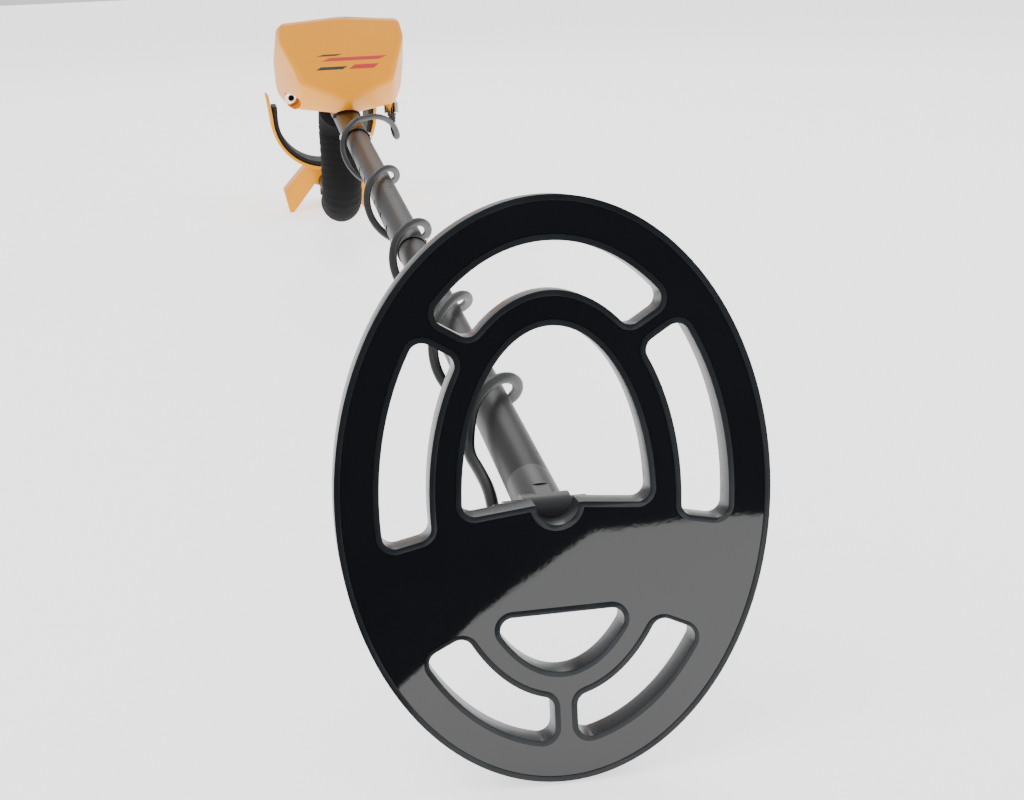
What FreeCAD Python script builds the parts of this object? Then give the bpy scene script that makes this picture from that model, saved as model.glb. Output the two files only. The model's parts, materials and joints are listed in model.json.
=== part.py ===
"""A hobby metal detector with an open elliptical coil, resting on its coil's heel and its stand.

Row frame: millimetres, +Z up, floor at Z = 0. The coil is at the low-Y end and the shaft runs
back along +Y to the arm cuff. X runs across the coil; the coil cable's socket is on the +X side.

Two local frames are used while modelling, and each piece is placed from one of them:
  shaft frame  x across, s back along the straight shaft, w up from it; origin on the coil's pivot
  coil frame   x across, y towards the coil's heel, z out of its top; origin in its bottom face
"""
import FreeCAD, Part
import math
import os

V = FreeCAD.Vector
X_AXIS, Y_AXIS, Z_AXIS = V(1, 0, 0), V(0, 1, 0), V(0, 0, 1)

# ---------------------------------------------------------------- driving dimensions (mm, degrees)
COIL_HALF_WIDTH, COIL_HALF_LENGTH = 83.6, 113.6
RIM_WIDTH = 16.6                      # outer ring, seen from below
INNER_RING = (48.3, 79.0)             # outer half-width and half-length of the receive ring
INNER_HOLE = (36.2, 67.1)             # inner half-width and half-length of the receive ring
INNER_HOLE_SHIFT = 1.2                # the receive ring's hole sits this far towards the heel
RING_HEIGHT, PLATE_HEIGHT = 15.0, 10.0
SHELL_WALL = 2.2
RING_ROUNDING = 4.5
CORNER_ROUNDING = 5.0

ROOT_Y, ROOT_Z = 11.0, 30.0           # the shaft's zero station, in the coil frame
SHAFT_TO_TOE = 78.5                   # angle from the coil's toe up to the shaft, as it rests
PIVOT_STATION = -8.0                  # the coil's pivot, on the shaft's line
PIVOT_Y = ROOT_Y - PIVOT_STATION * math.cos(math.radians(SHAFT_TO_TOE))
PIVOT_Z = ROOT_Z + PIVOT_STATION * math.sin(math.radians(SHAFT_TO_TOE))
SHAFT_RISE = 3.8                      # the shaft's slope above the floor, as it rests

LOWER_TUBE = (9.75, 8.25)             # outer and inner radius of each tube
MIDDLE_TUBE = (10.6, 9.8)
ROD_TUBE = (12.0, 10.65)
LOWER_TUBE_START, LOWER_TUBE_END = 20.0, 424.0
MIDDLE_TUBE_START, MIDDLE_TUBE_END = 374.0, 797.0
ROD_START, ROD_BEND, ROD_END = 748.0, 975.0, 1312.0
LOWER_BUTTONS_AT, UPPER_BUTTONS_AT = 397.0, 772.0
HOLE_PITCH, HOLE_PAIRS = 38.1, 7
SNAP_RADIUS, SNAP_HOLE_RADIUS = 3.1, 3.18

GRIP_DROP = 115.5                     # from the shaft's line down to the handle's lower bend
ROD_BEND_RADIUS = 38.0
REAR_SLOPE = 6.6                      # the rear of the rod dips by this much from the shaft's line
FOAM_RADIUS = 22.3
CUFF_AT, CUFF_LENGTH = 1261.0, 92.0
CUFF_RADIUS, CUFF_WALL = 67.0, 3.4
CUFF_CENTRE_ABOVE_ROD = 82.7
PAD_THICKNESS = 6.5

BOX_SEAM = 932.0                      # where the front and rear shells of the control box meet
BOX_WALL = 2.4
CABLE_RADIUS = 2.7

SHAFT_PIECES, COIL_PIECES = {}, {}


# ---------------------------------------------------------------- small helpers
def rod_between(start, end, radius):
    """A round bar from one point to another."""
    start, end = V(*start), V(*end)
    return Part.makeCylinder(radius, (end - start).Length, start, end - start)


def tube_between(start, end, outer, inner):
    return rod_between(start, end, outer).cut(rod_between(start, end, inner))


def block(low, high):
    low, high = V(*low), V(*high)
    size = high - low
    return Part.makeBox(size.x, size.y, size.z, low)


def prism(outline, direction):
    """A closed outline of points, pushed along a direction."""
    points = [V(*p) for p in outline]
    return Part.Face(Part.makePolygon(points + [points[0]])).extrude(V(*direction))


def fuse(pieces):
    whole = pieces[0]
    for piece in pieces[1:]:
        whole = whole.fuse(piece)
    return whole.removeSplitter()


def mirrored(shape):
    return shape.mirror(V(0, 0, 0), X_AXIS)


def edges_along(shape, direction):
    """The straight edges that run along a direction."""
    found = []
    for edge in shape.Edges:
        if len(edge.Vertexes) == 2:
            span = edge.Vertexes[1].Point - edge.Vertexes[0].Point
            if span.Length > 1e-6 and abs(abs(span.dot(direction)) - edge.Length) < 1e-5:
                found.append(edge)
    return found


def rounded_corners(shape, radius, direction=Z_AXIS):
    return shape.makeFillet(radius, edges_along(shape, direction))


def rounded_at(shape, radius, where):
    """Rounds each edge whose middle passes the test."""
    chosen = [e for e in shape.Edges if where(e.CenterOfMass, e)]
    return shape.makeFillet(radius, chosen)


def beyond_plane(normal, distance):
    """A large block outside the plane normal . p = distance."""
    normal = V(*normal)
    normal.normalize()
    slab = Part.makeBox(4000, 4000, 600, V(-2000, -2000, 0))
    slab.Placement = FreeCAD.Placement(normal * distance, FreeCAD.Rotation(Z_AXIS, normal))
    return slab


def bent_path(corners, radius):
    """Straight runs joined by tangent arcs of one radius, as a wire."""
    return path_wire([V(*c) for c in corners], [radius] * (len(corners) - 2))


def path_wire(points, radii):
    edges, last = [], points[0]
    for before, corner, after, radius in zip(points, points[1:], points[2:], radii):
        back = (before - corner).normalize()
        ahead = (after - corner).normalize()
        half_turn = (math.pi - back.getAngle(ahead)) / 2
        reach = radius * math.tan(half_turn)
        start, end = corner + back * reach, corner + ahead * reach
        inward = (back + ahead).normalize()
        middle = corner + inward * (radius / math.cos(half_turn) - radius)
        edges.append(Part.LineSegment(last, start).toShape())
        edges.append(Part.Arc(start, middle, end).toShape())
        last = end
    edges.append(Part.LineSegment(last, points[-1]).toShape())
    return Part.Wire(edges)


def swept_round(wire, radius):
    """A round bar along a wire."""
    first = wire.OrderedEdges[0]
    ring = Part.Circle(first.Vertexes[0].Point, first.tangentAt(first.FirstParameter), radius)
    return wire.makePipeShell([Part.Wire(ring.toShape())], True, True)


def on_shaft(name, shape):
    SHAFT_PIECES[name] = shape


def on_coil(name, shape):
    COIL_PIECES[name] = shape


# ---------------------------------------------------------------- the coil, in the coil frame
def ellipse_prism(half_width, half_length, low, high, centre_y=0.0, seam_at_toe=False):
    """An elliptical plate. Its surface's seam lies at the heel, or at the toe."""
    end = -half_length if seam_at_toe else half_length
    curve = Part.Ellipse(V(0, centre_y + end, low), V(half_width, centre_y, low), V(0, centre_y, low))
    return Part.Face(Part.Wire(curve.toShape())).extrude(V(0, 0, high - low))


def ring_gap(grow, low, high):
    """The elliptical gap between the outer ring and the receive ring."""
    outside = ellipse_prism(COIL_HALF_WIDTH - RIM_WIDTH + grow, COIL_HALF_LENGTH - RIM_WIDTH + grow,
                            low, high)
    return outside.cut(ellipse_prism(INNER_RING[0] - grow, INNER_RING[1] - grow, low - 1, high + 1))


SPOKE_POINT, SPOKE_ANGLE, SPOKE_WIDTH = (40.0, -64.0), 31.7, 8.4
BRIDGE_HALF_WIDTH = 4.5
WEB_EDGE_SLOPE = 0.21                 # the web's side edges drop towards the heel as they go out
NOTCH_RADIUS, NOTCH_Y = 8.3, 1.6


def spoke_edge(x, side):
    """Y of a spoke's edge at x. side is +1 for the edge by the toe opening, in half-widths."""
    slope = -math.tan(math.radians(SPOKE_ANGLE))
    offset = side / math.cos(math.radians(SPOKE_ANGLE))
    return SPOKE_POINT[1] + slope * (x - SPOKE_POINT[0]) - offset


def openings(grow, low, high):
    """The seven openings through the coil, each made wider by grow on every side."""
    half = SPOKE_WIDTH / 2 - grow
    height = (0, 0, high - low)
    gap = ring_gap(grow, low, high)
    toe_zone = prism([(0, spoke_edge(0, half), low), (110, spoke_edge(110, half), low), (110, -200, low),
                      (-110, -200, low), (-110, spoke_edge(110, half), low)], height)
    web_edge = lambda x: 10.3 + (x - 48) * WEB_EDGE_SLOPE + grow
    side_zone = prism([(20, web_edge(20), low), (110, web_edge(110), low),
                       (110, spoke_edge(110, -half), low), (20, spoke_edge(20, -half), low)], height)
    arc_end = lambda x: 50.2 + (x - 39) * 0.4755 - grow
    heel_zone = prism([(BRIDGE_HALF_WIDTH - grow, 140, low), (BRIDGE_HALF_WIDTH - grow, arc_end(4.5), low),
                       (110, arc_end(110), low), (110, 140, low)], height)
    round_by = CORNER_ROUNDING + grow
    toe = rounded_corners(gap.common(toe_zone), round_by)
    side = rounded_corners(gap.common(side_zone), round_by)
    heel = rounded_corners(gap.common(heel_zone), round_by)

    hole = lambda toe_seam: ellipse_prism(INNER_HOLE[0] + grow, INNER_HOLE[1] + grow, low, high,
                                          INNER_HOLE_SHIFT, toe_seam)
    shoulder = NOTCH_RADIUS + 1.5
    arch_zone = prism([(-60, 6.6 + grow, low), (-shoulder, NOTCH_Y + grow, low),
                       (shoulder, NOTCH_Y + grow, low), (60, 6.6 + grow, low),
                       (60, -90, low), (-60, -90, low)], height)
    arch = hole(False).common(arch_zone)
    corners = [e for e in edges_along(arch, Z_AXIS) if abs(e.CenterOfMass.x) > 20]
    arch = arch.makeFillet(round_by, corners)
    notch = Part.makeCylinder(NOTCH_RADIUS + grow, high - low, V(0, NOTCH_Y, low))
    moon = hole(True).common(block((-60, 44.6 - grow, low), (60, 90, high)))
    moon = rounded_corners(moon, round_by)
    return [toe, side, mirrored(side), heel, mirrored(heel), fuse([arch, notch]), moon]


def ring(outer, inner, low, high, shift=0.0):
    body = ellipse_prism(outer[0], outer[1], low, high)
    return body.cut(ellipse_prism(inner[0], inner[1], low - 1, high + 1, shift))


def coil_outlines(grow, low, plate_top, ring_top, rounding=0.0):
    """The coil's solid form: a plate, two raised rings and seven openings."""
    step = grow + 1.0                 # the raised rings stand back from the openings by this much
    rim = ring((COIL_HALF_WIDTH - grow, COIL_HALF_LENGTH - grow),
               (COIL_HALF_WIDTH - RIM_WIDTH + step, COIL_HALF_LENGTH - RIM_WIDTH + step), low, ring_top)
    inner = ring((INNER_RING[0] - step, INNER_RING[1] - step),
                 (INNER_HOLE[0] + step, INNER_HOLE[1] + step), low, ring_top, INNER_HOLE_SHIFT)
    if rounding:
        at_top = lambda middle, edge: abs(edge.BoundBox.ZMin - ring_top) < 1e-3
        rim = rounded_at(rim, rounding, at_top)
        inner = rounded_at(inner, rounding - 0.9, at_top)
    plate = ellipse_prism(COIL_HALF_WIDTH - grow - 1, COIL_HALF_LENGTH - grow - 1, low, plate_top)
    body = fuse([rim, inner, plate])
    for opening in openings(grow, low - 1, ring_top + 1):
        body = body.cut(opening)
    return body


def ear():
    """One lug that carries the pivot bolt, with a web behind it."""
    inner_x, thick = 10.6, 6.0
    post = prism([(inner_x, 5.4, 8), (inner_x, 25, 8), (inner_x, PIVOT_Y + 7.1, PIVOT_Z + 2),
                  (inner_x, PIVOT_Y - 7.1, PIVOT_Z + 2)], (thick, 0, 0))
    eye = rod_between((inner_x, PIVOT_Y, PIVOT_Z), (inner_x + thick, PIVOT_Y, PIVOT_Z), 7.4)
    gusset = prism([(inner_x + 1.5, 22, 8), (inner_x + 1.5, 38, 8), (inner_x + 1.5, 18, 22)], (3, 0, 0))
    return fuse([post, eye, gusset])


GLAND_X, GLAND_Y, GLAND_TOP = -20.0, 37.0, 24.0
BOLT_RADIUS, BOLT_HOLE_RADIUS = 3.0, 3.06


def coil_pieces():
    shell = coil_outlines(0.0, 0.0, PLATE_HEIGHT, RING_HEIGHT, RING_ROUNDING)
    cavity = coil_outlines(SHELL_WALL, -1.0, PLATE_HEIGHT - 2, RING_HEIGHT - 2.4)
    shell = shell.cut(cavity)
    boss = tube_between((GLAND_X, GLAND_Y, 7.9), (GLAND_X, GLAND_Y, 14), 7.0, 4.1)
    pivot_hole = rod_between((-40, PIVOT_Y, PIVOT_Z), (40, PIVOT_Y, PIVOT_Z), BOLT_HOLE_RADIUS)
    lead_hole = rod_between((GLAND_X, GLAND_Y, 6), (GLAND_X, GLAND_Y, 15), 4.1)
    shell = fuse([shell, ear(), mirrored(ear()), boss]).cut(pivot_hole).cut(lead_hole)
    on_coil("coil_shell", shell)

    potting = coil_outlines(SHELL_WALL, 0.3, 5.0, 5.0)
    on_coil("coil_potting", potting)

    transmit = ring((COIL_HALF_WIDTH - 6, COIL_HALF_LENGTH - 6),
                    (COIL_HALF_WIDTH - 10, COIL_HALF_LENGTH - 10), 5.0, 8.2)
    receive = ring((INNER_RING[0] - 4.2, INNER_RING[1] - 4.2), (INNER_HOLE[0] + 4.2, INNER_HOLE[1] + 4.2),
                   5.0, 8.2, INNER_HOLE_SHIFT)
    on_coil("transmit_winding", transmit)
    on_coil("receive_winding", receive)

    gland = fuse([tube_between((GLAND_X, GLAND_Y, 8), (GLAND_X, GLAND_Y, 17.5), 4.05, CABLE_RADIUS + 0.05),
                  Part.makeCone(6.4, 5.0, GLAND_TOP - 14, V(GLAND_X, GLAND_Y, 14), Z_AXIS)])
    gland = gland.cut(rod_between((GLAND_X, GLAND_Y, 7), (GLAND_X, GLAND_Y, GLAND_TOP + 1),
                                  CABLE_RADIUS + 0.05))
    on_coil("coil_cable_gland", gland)

    washer = tube_between((9.55, PIVOT_Y, PIVOT_Z), (10.55, PIVOT_Y, PIVOT_Z), 7.4, BOLT_HOLE_RADIUS)
    on_coil("pivot_washers", Part.makeCompound([washer, mirrored(washer)]))

    head = rod_between((-20.6, PIVOT_Y, PIVOT_Z), (-16.65, PIVOT_Y, PIVOT_Z), 6.6)
    head = rounded_at(head, 1.2, lambda middle, edge: abs(middle.x + 20.6) < 0.01)
    flutes = [rod_between((-21, PIVOT_Y + 7.2 * math.cos(a), PIVOT_Z + 7.2 * math.sin(a)),
                          (-16, PIVOT_Y + 7.2 * math.cos(a), PIVOT_Z + 7.2 * math.sin(a)), 1.1)
              for a in [math.radians(step * 30) for step in range(12)]]
    for flute in flutes:
        head = head.cut(flute)
    shank = rod_between((-16.65, PIVOT_Y, PIVOT_Z), (27, PIVOT_Y, PIVOT_Z), BOLT_RADIUS)
    on_coil("coil_bolt", fuse([head, shank]))

    hub = Part.makeCone(6.5, 5.2, 7.5, V(16.75, PIVOT_Y, PIVOT_Z), X_AXIS)
    wing = prism([(19.5, PIVOT_Y, PIVOT_Z + 3), (23.5, PIVOT_Y, PIVOT_Z + 3), (29.5, PIVOT_Y, PIVOT_Z + 9.6),
                  (27.5, PIVOT_Y, PIVOT_Z + 11.3), (23.0, PIVOT_Y, PIVOT_Z + 10.6)], (0, 3, 0))
    wing.translate(V(0, -1.5, 0))
    wing = wing.makeFillet(0.9, [e for e in wing.Edges if e.CenterOfMass.z > PIVOT_Z + 7])
    other = wing.copy()
    other.rotate(V(0, PIVOT_Y, PIVOT_Z), X_AXIS, 180)
    nut = fuse([hub, wing, other])
    nut = nut.cut(rod_between((16, PIVOT_Y, PIVOT_Z), (30, PIVOT_Y, PIVOT_Z), BOLT_HOLE_RADIUS))
    on_coil("wing_nut", nut)


# ---------------------------------------------------------------- the telescoping shaft
def snap_holes(stations, radius):
    return [rod_between((-30, s, 0), (30, s, 0), radius) for s in stations]


def snap_clip(at, reach):
    """The bowed spring strip inside a tube, whose two legs carry the buttons."""
    strip, half_width = 0.6, 3.0
    centre = [(reach, at + 5), (reach - 0.4, at - 14), (3.4, at - 46), (0, at - 50),
              (-3.4, at - 46), (-reach + 0.4, at - 14), (-reach, at + 5)]
    inner = [(x - math.copysign(strip, x) if x else 0, s + (strip * 1.2 if abs(x) < 4 else 0))
             for x, s in centre]
    outline = [(x, s, -half_width) for x, s in centre + inner[::-1]]
    return prism(outline, (0, 0, 2 * half_width))


def snap_button(at, inner, outer):
    """One domed button, standing out on the +x side."""
    button = rod_between((inner, at, 0), (outer, at, 0), SNAP_RADIUS)
    return rounded_at(button, 1.8, lambda middle, edge: abs(middle.x - outer) < 0.01)


def shaft_pieces():
    tang = rod_between((-9.5, PIVOT_STATION, 0), (9.5, PIVOT_STATION, 0), 9.4)
    neck = block((-9.5, PIVOT_STATION, -9.2), (9.5, 4, 9.2))
    neck = neck.common(rod_between((0, PIVOT_STATION - 1, 0), (0, 5, 0), LOWER_TUBE[0]))
    collar = rod_between((0, 2, 0), (0, LOWER_TUBE_START, 0), LOWER_TUBE[0])
    plug = rod_between((0, 18, 0), (0, 62, 0), LOWER_TUBE[1] - 0.02)
    tip = fuse([tang, neck, collar, plug])
    bolt_hole = rod_between((-20, PIVOT_STATION, 0), (20, PIVOT_STATION, 0), BOLT_HOLE_RADIUS)
    on_shaft("stem_tip", tip.cut(bolt_hole))

    stations = [LOWER_BUTTONS_AT + HOLE_PITCH * k for k in range(HOLE_PAIRS)]
    lower = tube_between((0, LOWER_TUBE_START, 0), (0, LOWER_TUBE_END, 0), *LOWER_TUBE)
    middle = tube_between((0, MIDDLE_TUBE_START, 0), (0, MIDDLE_TUBE_END, 0), *MIDDLE_TUBE)
    for hole in snap_holes([LOWER_BUTTONS_AT], SNAP_HOLE_RADIUS):
        lower = lower.cut(hole)
    for hole in snap_holes(stations + [UPPER_BUTTONS_AT], SNAP_HOLE_RADIUS):
        middle = middle.cut(hole)
    on_shaft("lower_stem", lower)
    on_shaft("middle_stem", middle)

    for name, at, inner, outer in (("lower_snap", LOWER_BUTTONS_AT, 7.5, 12.9),
                                   ("upper_snap", UPPER_BUTTONS_AT, 9.2, 14.6)):
        button = snap_button(at, inner, outer)
        on_shaft(name + "_spring", snap_clip(at, inner))
        on_shaft(name + "_button_right", button)
        on_shaft(name + "_button_left", mirrored(button))


def rear_line(s):
    """W of the rod's centreline behind the handle."""
    return -GRIP_DROP - (s - ROD_BEND) * math.tan(math.radians(REAR_SLOPE))


def rod_pieces():
    corners = [(0, ROD_START, 0), (0, ROD_BEND, 0), (0, ROD_BEND, -GRIP_DROP),
               (0, ROD_END, rear_line(ROD_END))]
    path = bent_path(corners, ROD_BEND_RADIUS)
    rod = swept_round(path, ROD_TUBE[0]).cut(swept_round(path, ROD_TUBE[1]))
    for hole in snap_holes([UPPER_BUTTONS_AT], SNAP_HOLE_RADIUS):
        rod = rod.cut(hole)
    for s in SADDLE_SCREWS:
        rod = rod.cut(rod_between((0, s, -20), (0, s, 20), 2.1))
    bolt = on_rear(rod_between((0, 0, -30), (0, 0, 30), 3.1))
    on_shaft("s_rod", rod.cut(bolt))

    # The foam starts part of the way round the upper bend and ends behind the lower one.
    start_turn = math.radians(14)
    bend_back = ROD_BEND - ROD_BEND_RADIUS
    low_turn = math.radians(90 - REAR_SLOPE)
    low_reach = ROD_BEND_RADIUS * math.tan(low_turn / 2)
    low_start = V(0, ROD_BEND, -GRIP_DROP + low_reach)
    on_bend = lambda turn: V(0, bend_back + ROD_BEND_RADIUS * math.sin(turn),
                             -ROD_BEND_RADIUS * (1 - math.cos(turn)))
    on_low_bend = lambda turn: V(0, low_start.y + ROD_BEND_RADIUS * (1 - math.cos(turn)),
                                 low_start.z - ROD_BEND_RADIUS * math.sin(turn))
    backwards = V(0, math.cos(math.radians(REAR_SLOPE)), -math.sin(math.radians(REAR_SLOPE)))
    low_end = on_low_bend(low_turn)
    foam_path = Part.Wire([
        Part.Arc(on_bend(start_turn), on_bend((start_turn + math.pi / 2) / 2),
                 on_bend(math.pi / 2)).toShape(),
        Part.LineSegment(on_bend(math.pi / 2), low_start).toShape(),
        Part.Arc(low_start, on_low_bend(low_turn / 2), low_end).toShape(),
        Part.LineSegment(low_end, low_end + backwards * 14).toShape()])
    foam = swept_round(foam_path, FOAM_RADIUS)
    foam = rounded_at(foam, 3.5, lambda middle, edge: edge.Curve.TypeId == "Part::GeomCircle"
                      and abs(edge.Length - 2 * math.pi * FOAM_RADIUS) < 0.5
                      and min((middle - on_bend(start_turn)).Length,
                              (middle - low_end - backwards * 14).Length) < 0.5)
    foam = foam.cut(box_form(-1.0)).cut(block((-40, 900, -2), (40, 976, 60)))
    on_shaft("grip_foam", foam.cut(swept_round(path, ROD_TUBE[0])))

    cap = on_rear(rod_between((0, REAR_END, 0), (0, REAR_END + 3.5, 0), ROD_TUBE[0] + 0.5))
    stub = on_rear(rod_between((0, REAR_END - 15, 0), (0, REAR_END + 1, 0), ROD_TUBE[1] - 0.02))
    on_shaft("rod_end_plug", fuse([cap, stub]))


# Pieces on the rear of the rod are modelled about its centreline, with y = 0 under the cuff's middle.
REAR_END = (ROD_END - CUFF_AT) / math.cos(math.radians(REAR_SLOPE))


def on_rear(shape):
    shape.Placement = FreeCAD.Placement(V(0, CUFF_AT, rear_line(CUFF_AT)),
                                        FreeCAD.Rotation(X_AXIS, -REAR_SLOPE)).multiply(shape.Placement)
    return shape


def cradle(outer, inner, low, high, wing_top, flare):
    """A U-shaped trough: a half round with slightly flared straight sides."""
    centre = CUFF_CENTRE_ABOVE_ROD
    length = V(0, high - low, 0)

    def closed(radius, top, splay):
        left, right = V(-radius, low, centre), V(radius, low, centre)
        bottom = V(0, low, centre - radius)
        tip_left, tip_right = V(-radius - splay, low, top), V(radius + splay, low, top)
        return Part.Face(Part.Wire([Part.Arc(left, bottom, right).toShape(),
                                    Part.LineSegment(right, tip_right).toShape(),
                                    Part.LineSegment(tip_right, tip_left).toShape(),
                                    Part.LineSegment(tip_left, left).toShape()])).extrude(length)

    rise = (wing_top + 1 - centre) / (wing_top - centre)
    return closed(outer, wing_top, flare).cut(closed(inner, wing_top + 1, flare * rise))


LEG_LENGTH = 58.0
LEG_OUTLINE = [(12.0, 4.0), (14.0, 17.5), (25.0, 21.5), (56.0, -11.0), (50.5, -38.0), (47.0, -38.0),
               (17.0, -2.0), (12.0, -4.0)]
LEG_HOLLOW = [(15.5, 1.0), (17.0, 14.0), (24.5, 16.8), (52.8, -12.6), (48.7, -32.5), (19.0, -0.8)]


def cuff_pieces():
    half = CUFF_LENGTH / 2
    trough = cradle(CUFF_RADIUS, CUFF_RADIUS - CUFF_WALL, -half, half, 112.0, 3.5)
    tips = [e for e in edges_along(trough, X_AXIS.cross(Z_AXIS)) if e.CenterOfMass.z > 100]
    trough = trough.makeFillet(1.4, tips)
    # The wings' front and rear corners are cut back in a large radius.
    for end in (-1, 1):
        keep = rod_between((-120, 0, 74), (120, 0, 74), 58)
        corner = block((-120, min(0, end * 80), 74), (120, max(0, end * 80), 140))
        trough = trough.cut(corner.cut(keep))
    saddle = block((-17, -half + 4, 0), (17, half - 4, 18))
    saddle = saddle.cut(Part.makeCylinder(CUFF_RADIUS - 1, 400, V(0, -200, CUFF_CENTRE_ABOVE_ROD), Y_AXIS))
    front = -half + 4
    leg = prism([(x, front, z) for x, z in LEG_OUTLINE], (0, LEG_LENGTH, 0))
    leg = leg.cut(prism([(x, front + 3, z) for x, z in LEG_HOLLOW], (0, LEG_LENGTH, 0)))
    cuff = fuse([trough, saddle, leg, mirrored(leg)])
    cuff = cuff.cut(rod_between((0, -200, 0), (0, 200, 0), ROD_TUBE[0] + 0.05))
    cuff = cuff.cut(rod_between((0, 0, 0), (0, 0, 30), 3.1))
    on_shaft("arm_cuff", on_rear(cuff))

    pad_outer = CUFF_RADIUS - CUFF_WALL - 0.1
    pad = cradle(pad_outer, pad_outer - PAD_THICKNESS, -half + 4, half - 4, 98.0, 0.8)
    pad = pad.cut(rod_between((0, 0, 0), (0, 0, 22.6), 8.0))
    on_shaft("cuff_pad", on_rear(pad))

    head = fuse([rod_between((0, 0, 19.45), (0, 0, 22.4), 6.2), rod_between((0, 0, -23), (0, 0, 20), 3.0)])
    on_shaft("cuff_bolt", on_rear(head))
    knob = rod_between((0, 0, -21.5), (0, 0, -12.3), 8.5)
    knob = rounded_at(knob, 1.5, lambda middle, edge: abs(middle.z + 21.5) < 0.01)
    for step in range(10):
        turn = math.radians(36 * step)
        knob = knob.cut(rod_between((9.2 * math.cos(turn), 9.2 * math.sin(turn), -22),
                                    (9.2 * math.cos(turn), 9.2 * math.sin(turn), -12), 1.5))
    knob = knob.cut(rod_between((0, 0, -24), (0, 0, 0), 3.06))
    knob = knob.cut(rod_between((0, -200, 0), (0, 200, 0), ROD_TUBE[0] + 0.02))
    on_shaft("cuff_knob", on_rear(knob))


# ---------------------------------------------------------------- the control box, in the shaft frame
SADDLE_SCREWS = (872.0, 914.0)
BOX_FACETS = [                        # outward normal and distance of each flat of the box
    ((0, -0.706, 0.708), -555.9),     # lower half of the sloping front
    ((0, -0.560, 0.828), -425.3),     # upper half of the sloping front
    ((0.080, 0.158, 0.984), 236.0),   # roof, one side
    ((-0.080, 0.158, 0.984), 236.0),
    ((0.457, -0.500, -0.735), -425.3),  # under the chin, one side
    ((-0.457, -0.500, -0.735), -425.3),
    ((0.9605, -0.218, -0.172), -144.9),  # cheek
    ((-0.9605, -0.218, -0.172), -144.9),
    ((0.991, 0, 0.133), 71.4),        # upper side wall
    ((-0.991, 0, 0.133), 71.4),
    ((0.9986, 0, -0.052), 63.6),      # lower side wall
    ((-0.9986, 0, -0.052), 63.6),
    ((0.685, 0, -0.728), 32.5),       # lower corner
    ((-0.685, 0, -0.728), 32.5),
    ((0, 0.956, 0.294), 934.0),       # rear panel
    ((0, 0, -1), -8.0),               # underside
]
PANEL_TILT = math.degrees(math.atan2(0.294, 0.956))
PANEL_CENTRE = (0, 962.0, 49.0)
JACK = (-52.0, 905.0, 17.0)
SOCKET = (50.0, 908.0, 8.0)
SOCKET_LEAN = 14.0                    # the plug leans forward from straight down
CHANNEL_RADIUS = 14.4
DOOR_CENTRE = (30.5, 915.4, (236.0 - 0.080 * 30.5 - 0.158 * 915.4) / 0.984)
DOOR_HALF = (26.0, 14.2)


def box_form(inset):
    """The box's outer form, or the same form drawn in by a wall."""
    form = block((-90, 780, -5), (90, 1000, 120))
    for normal, distance in BOX_FACETS:
        length = V(*normal).Length
        form = form.cut(beyond_plane(normal, distance / length - inset))
    channel = fuse([rod_between((0, 780, 0), (0, 1000, 0), CHANNEL_RADIUS + inset),
                    block((-CHANNEL_RADIUS - inset, 780, -40), (CHANNEL_RADIUS + inset, 1000, 0))])
    return form.cut(channel)


def on_panel(shape):
    """Places a piece modelled with z out of the rear panel and y up it."""
    stand = FreeCAD.Rotation(X_AXIS, 90)
    turn = FreeCAD.Rotation(V(0, 0, 1), 180)
    tilt = FreeCAD.Rotation(X_AXIS, PANEL_TILT)
    shape.Placement = FreeCAD.Placement(V(*PANEL_CENTRE), tilt.multiply(turn).multiply(stand)
                                        ).multiply(shape.Placement)
    return shape


def on_roof(shape):
    """Places a piece modelled with z out of the roof's right half, at the battery door's middle."""
    shape.Placement = FreeCAD.Placement(V(*DOOR_CENTRE), FreeCAD.Rotation(Z_AXIS, V(0.080, 0.158, 0.984))
                                        ).multiply(shape.Placement)
    return shape


def on_socket(shape):
    """Places a piece modelled with z out of the cable socket's mouth."""
    down = FreeCAD.Rotation(X_AXIS, 180 - SOCKET_LEAN)
    shape.Placement = FreeCAD.Placement(V(*SOCKET), down).multiply(shape.Placement)
    return shape


BUTTON_X = (-39.0, -13.0, 13.0, 39.0)
BUTTON_NAMES = ("power_button", "mode_button", "minus_button", "plus_button")
BUTTON_Y, BUTTON_HALF = -13.0, (9.0, 4.2)


def rounded_slab(half_x, half_y, low, high, radius, centre=(0, 0)):
    slab = block((centre[0] - half_x, centre[1] - half_y, low), (centre[0] + half_x, centre[1] + half_y, high))
    return rounded_corners(slab, radius)


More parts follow.
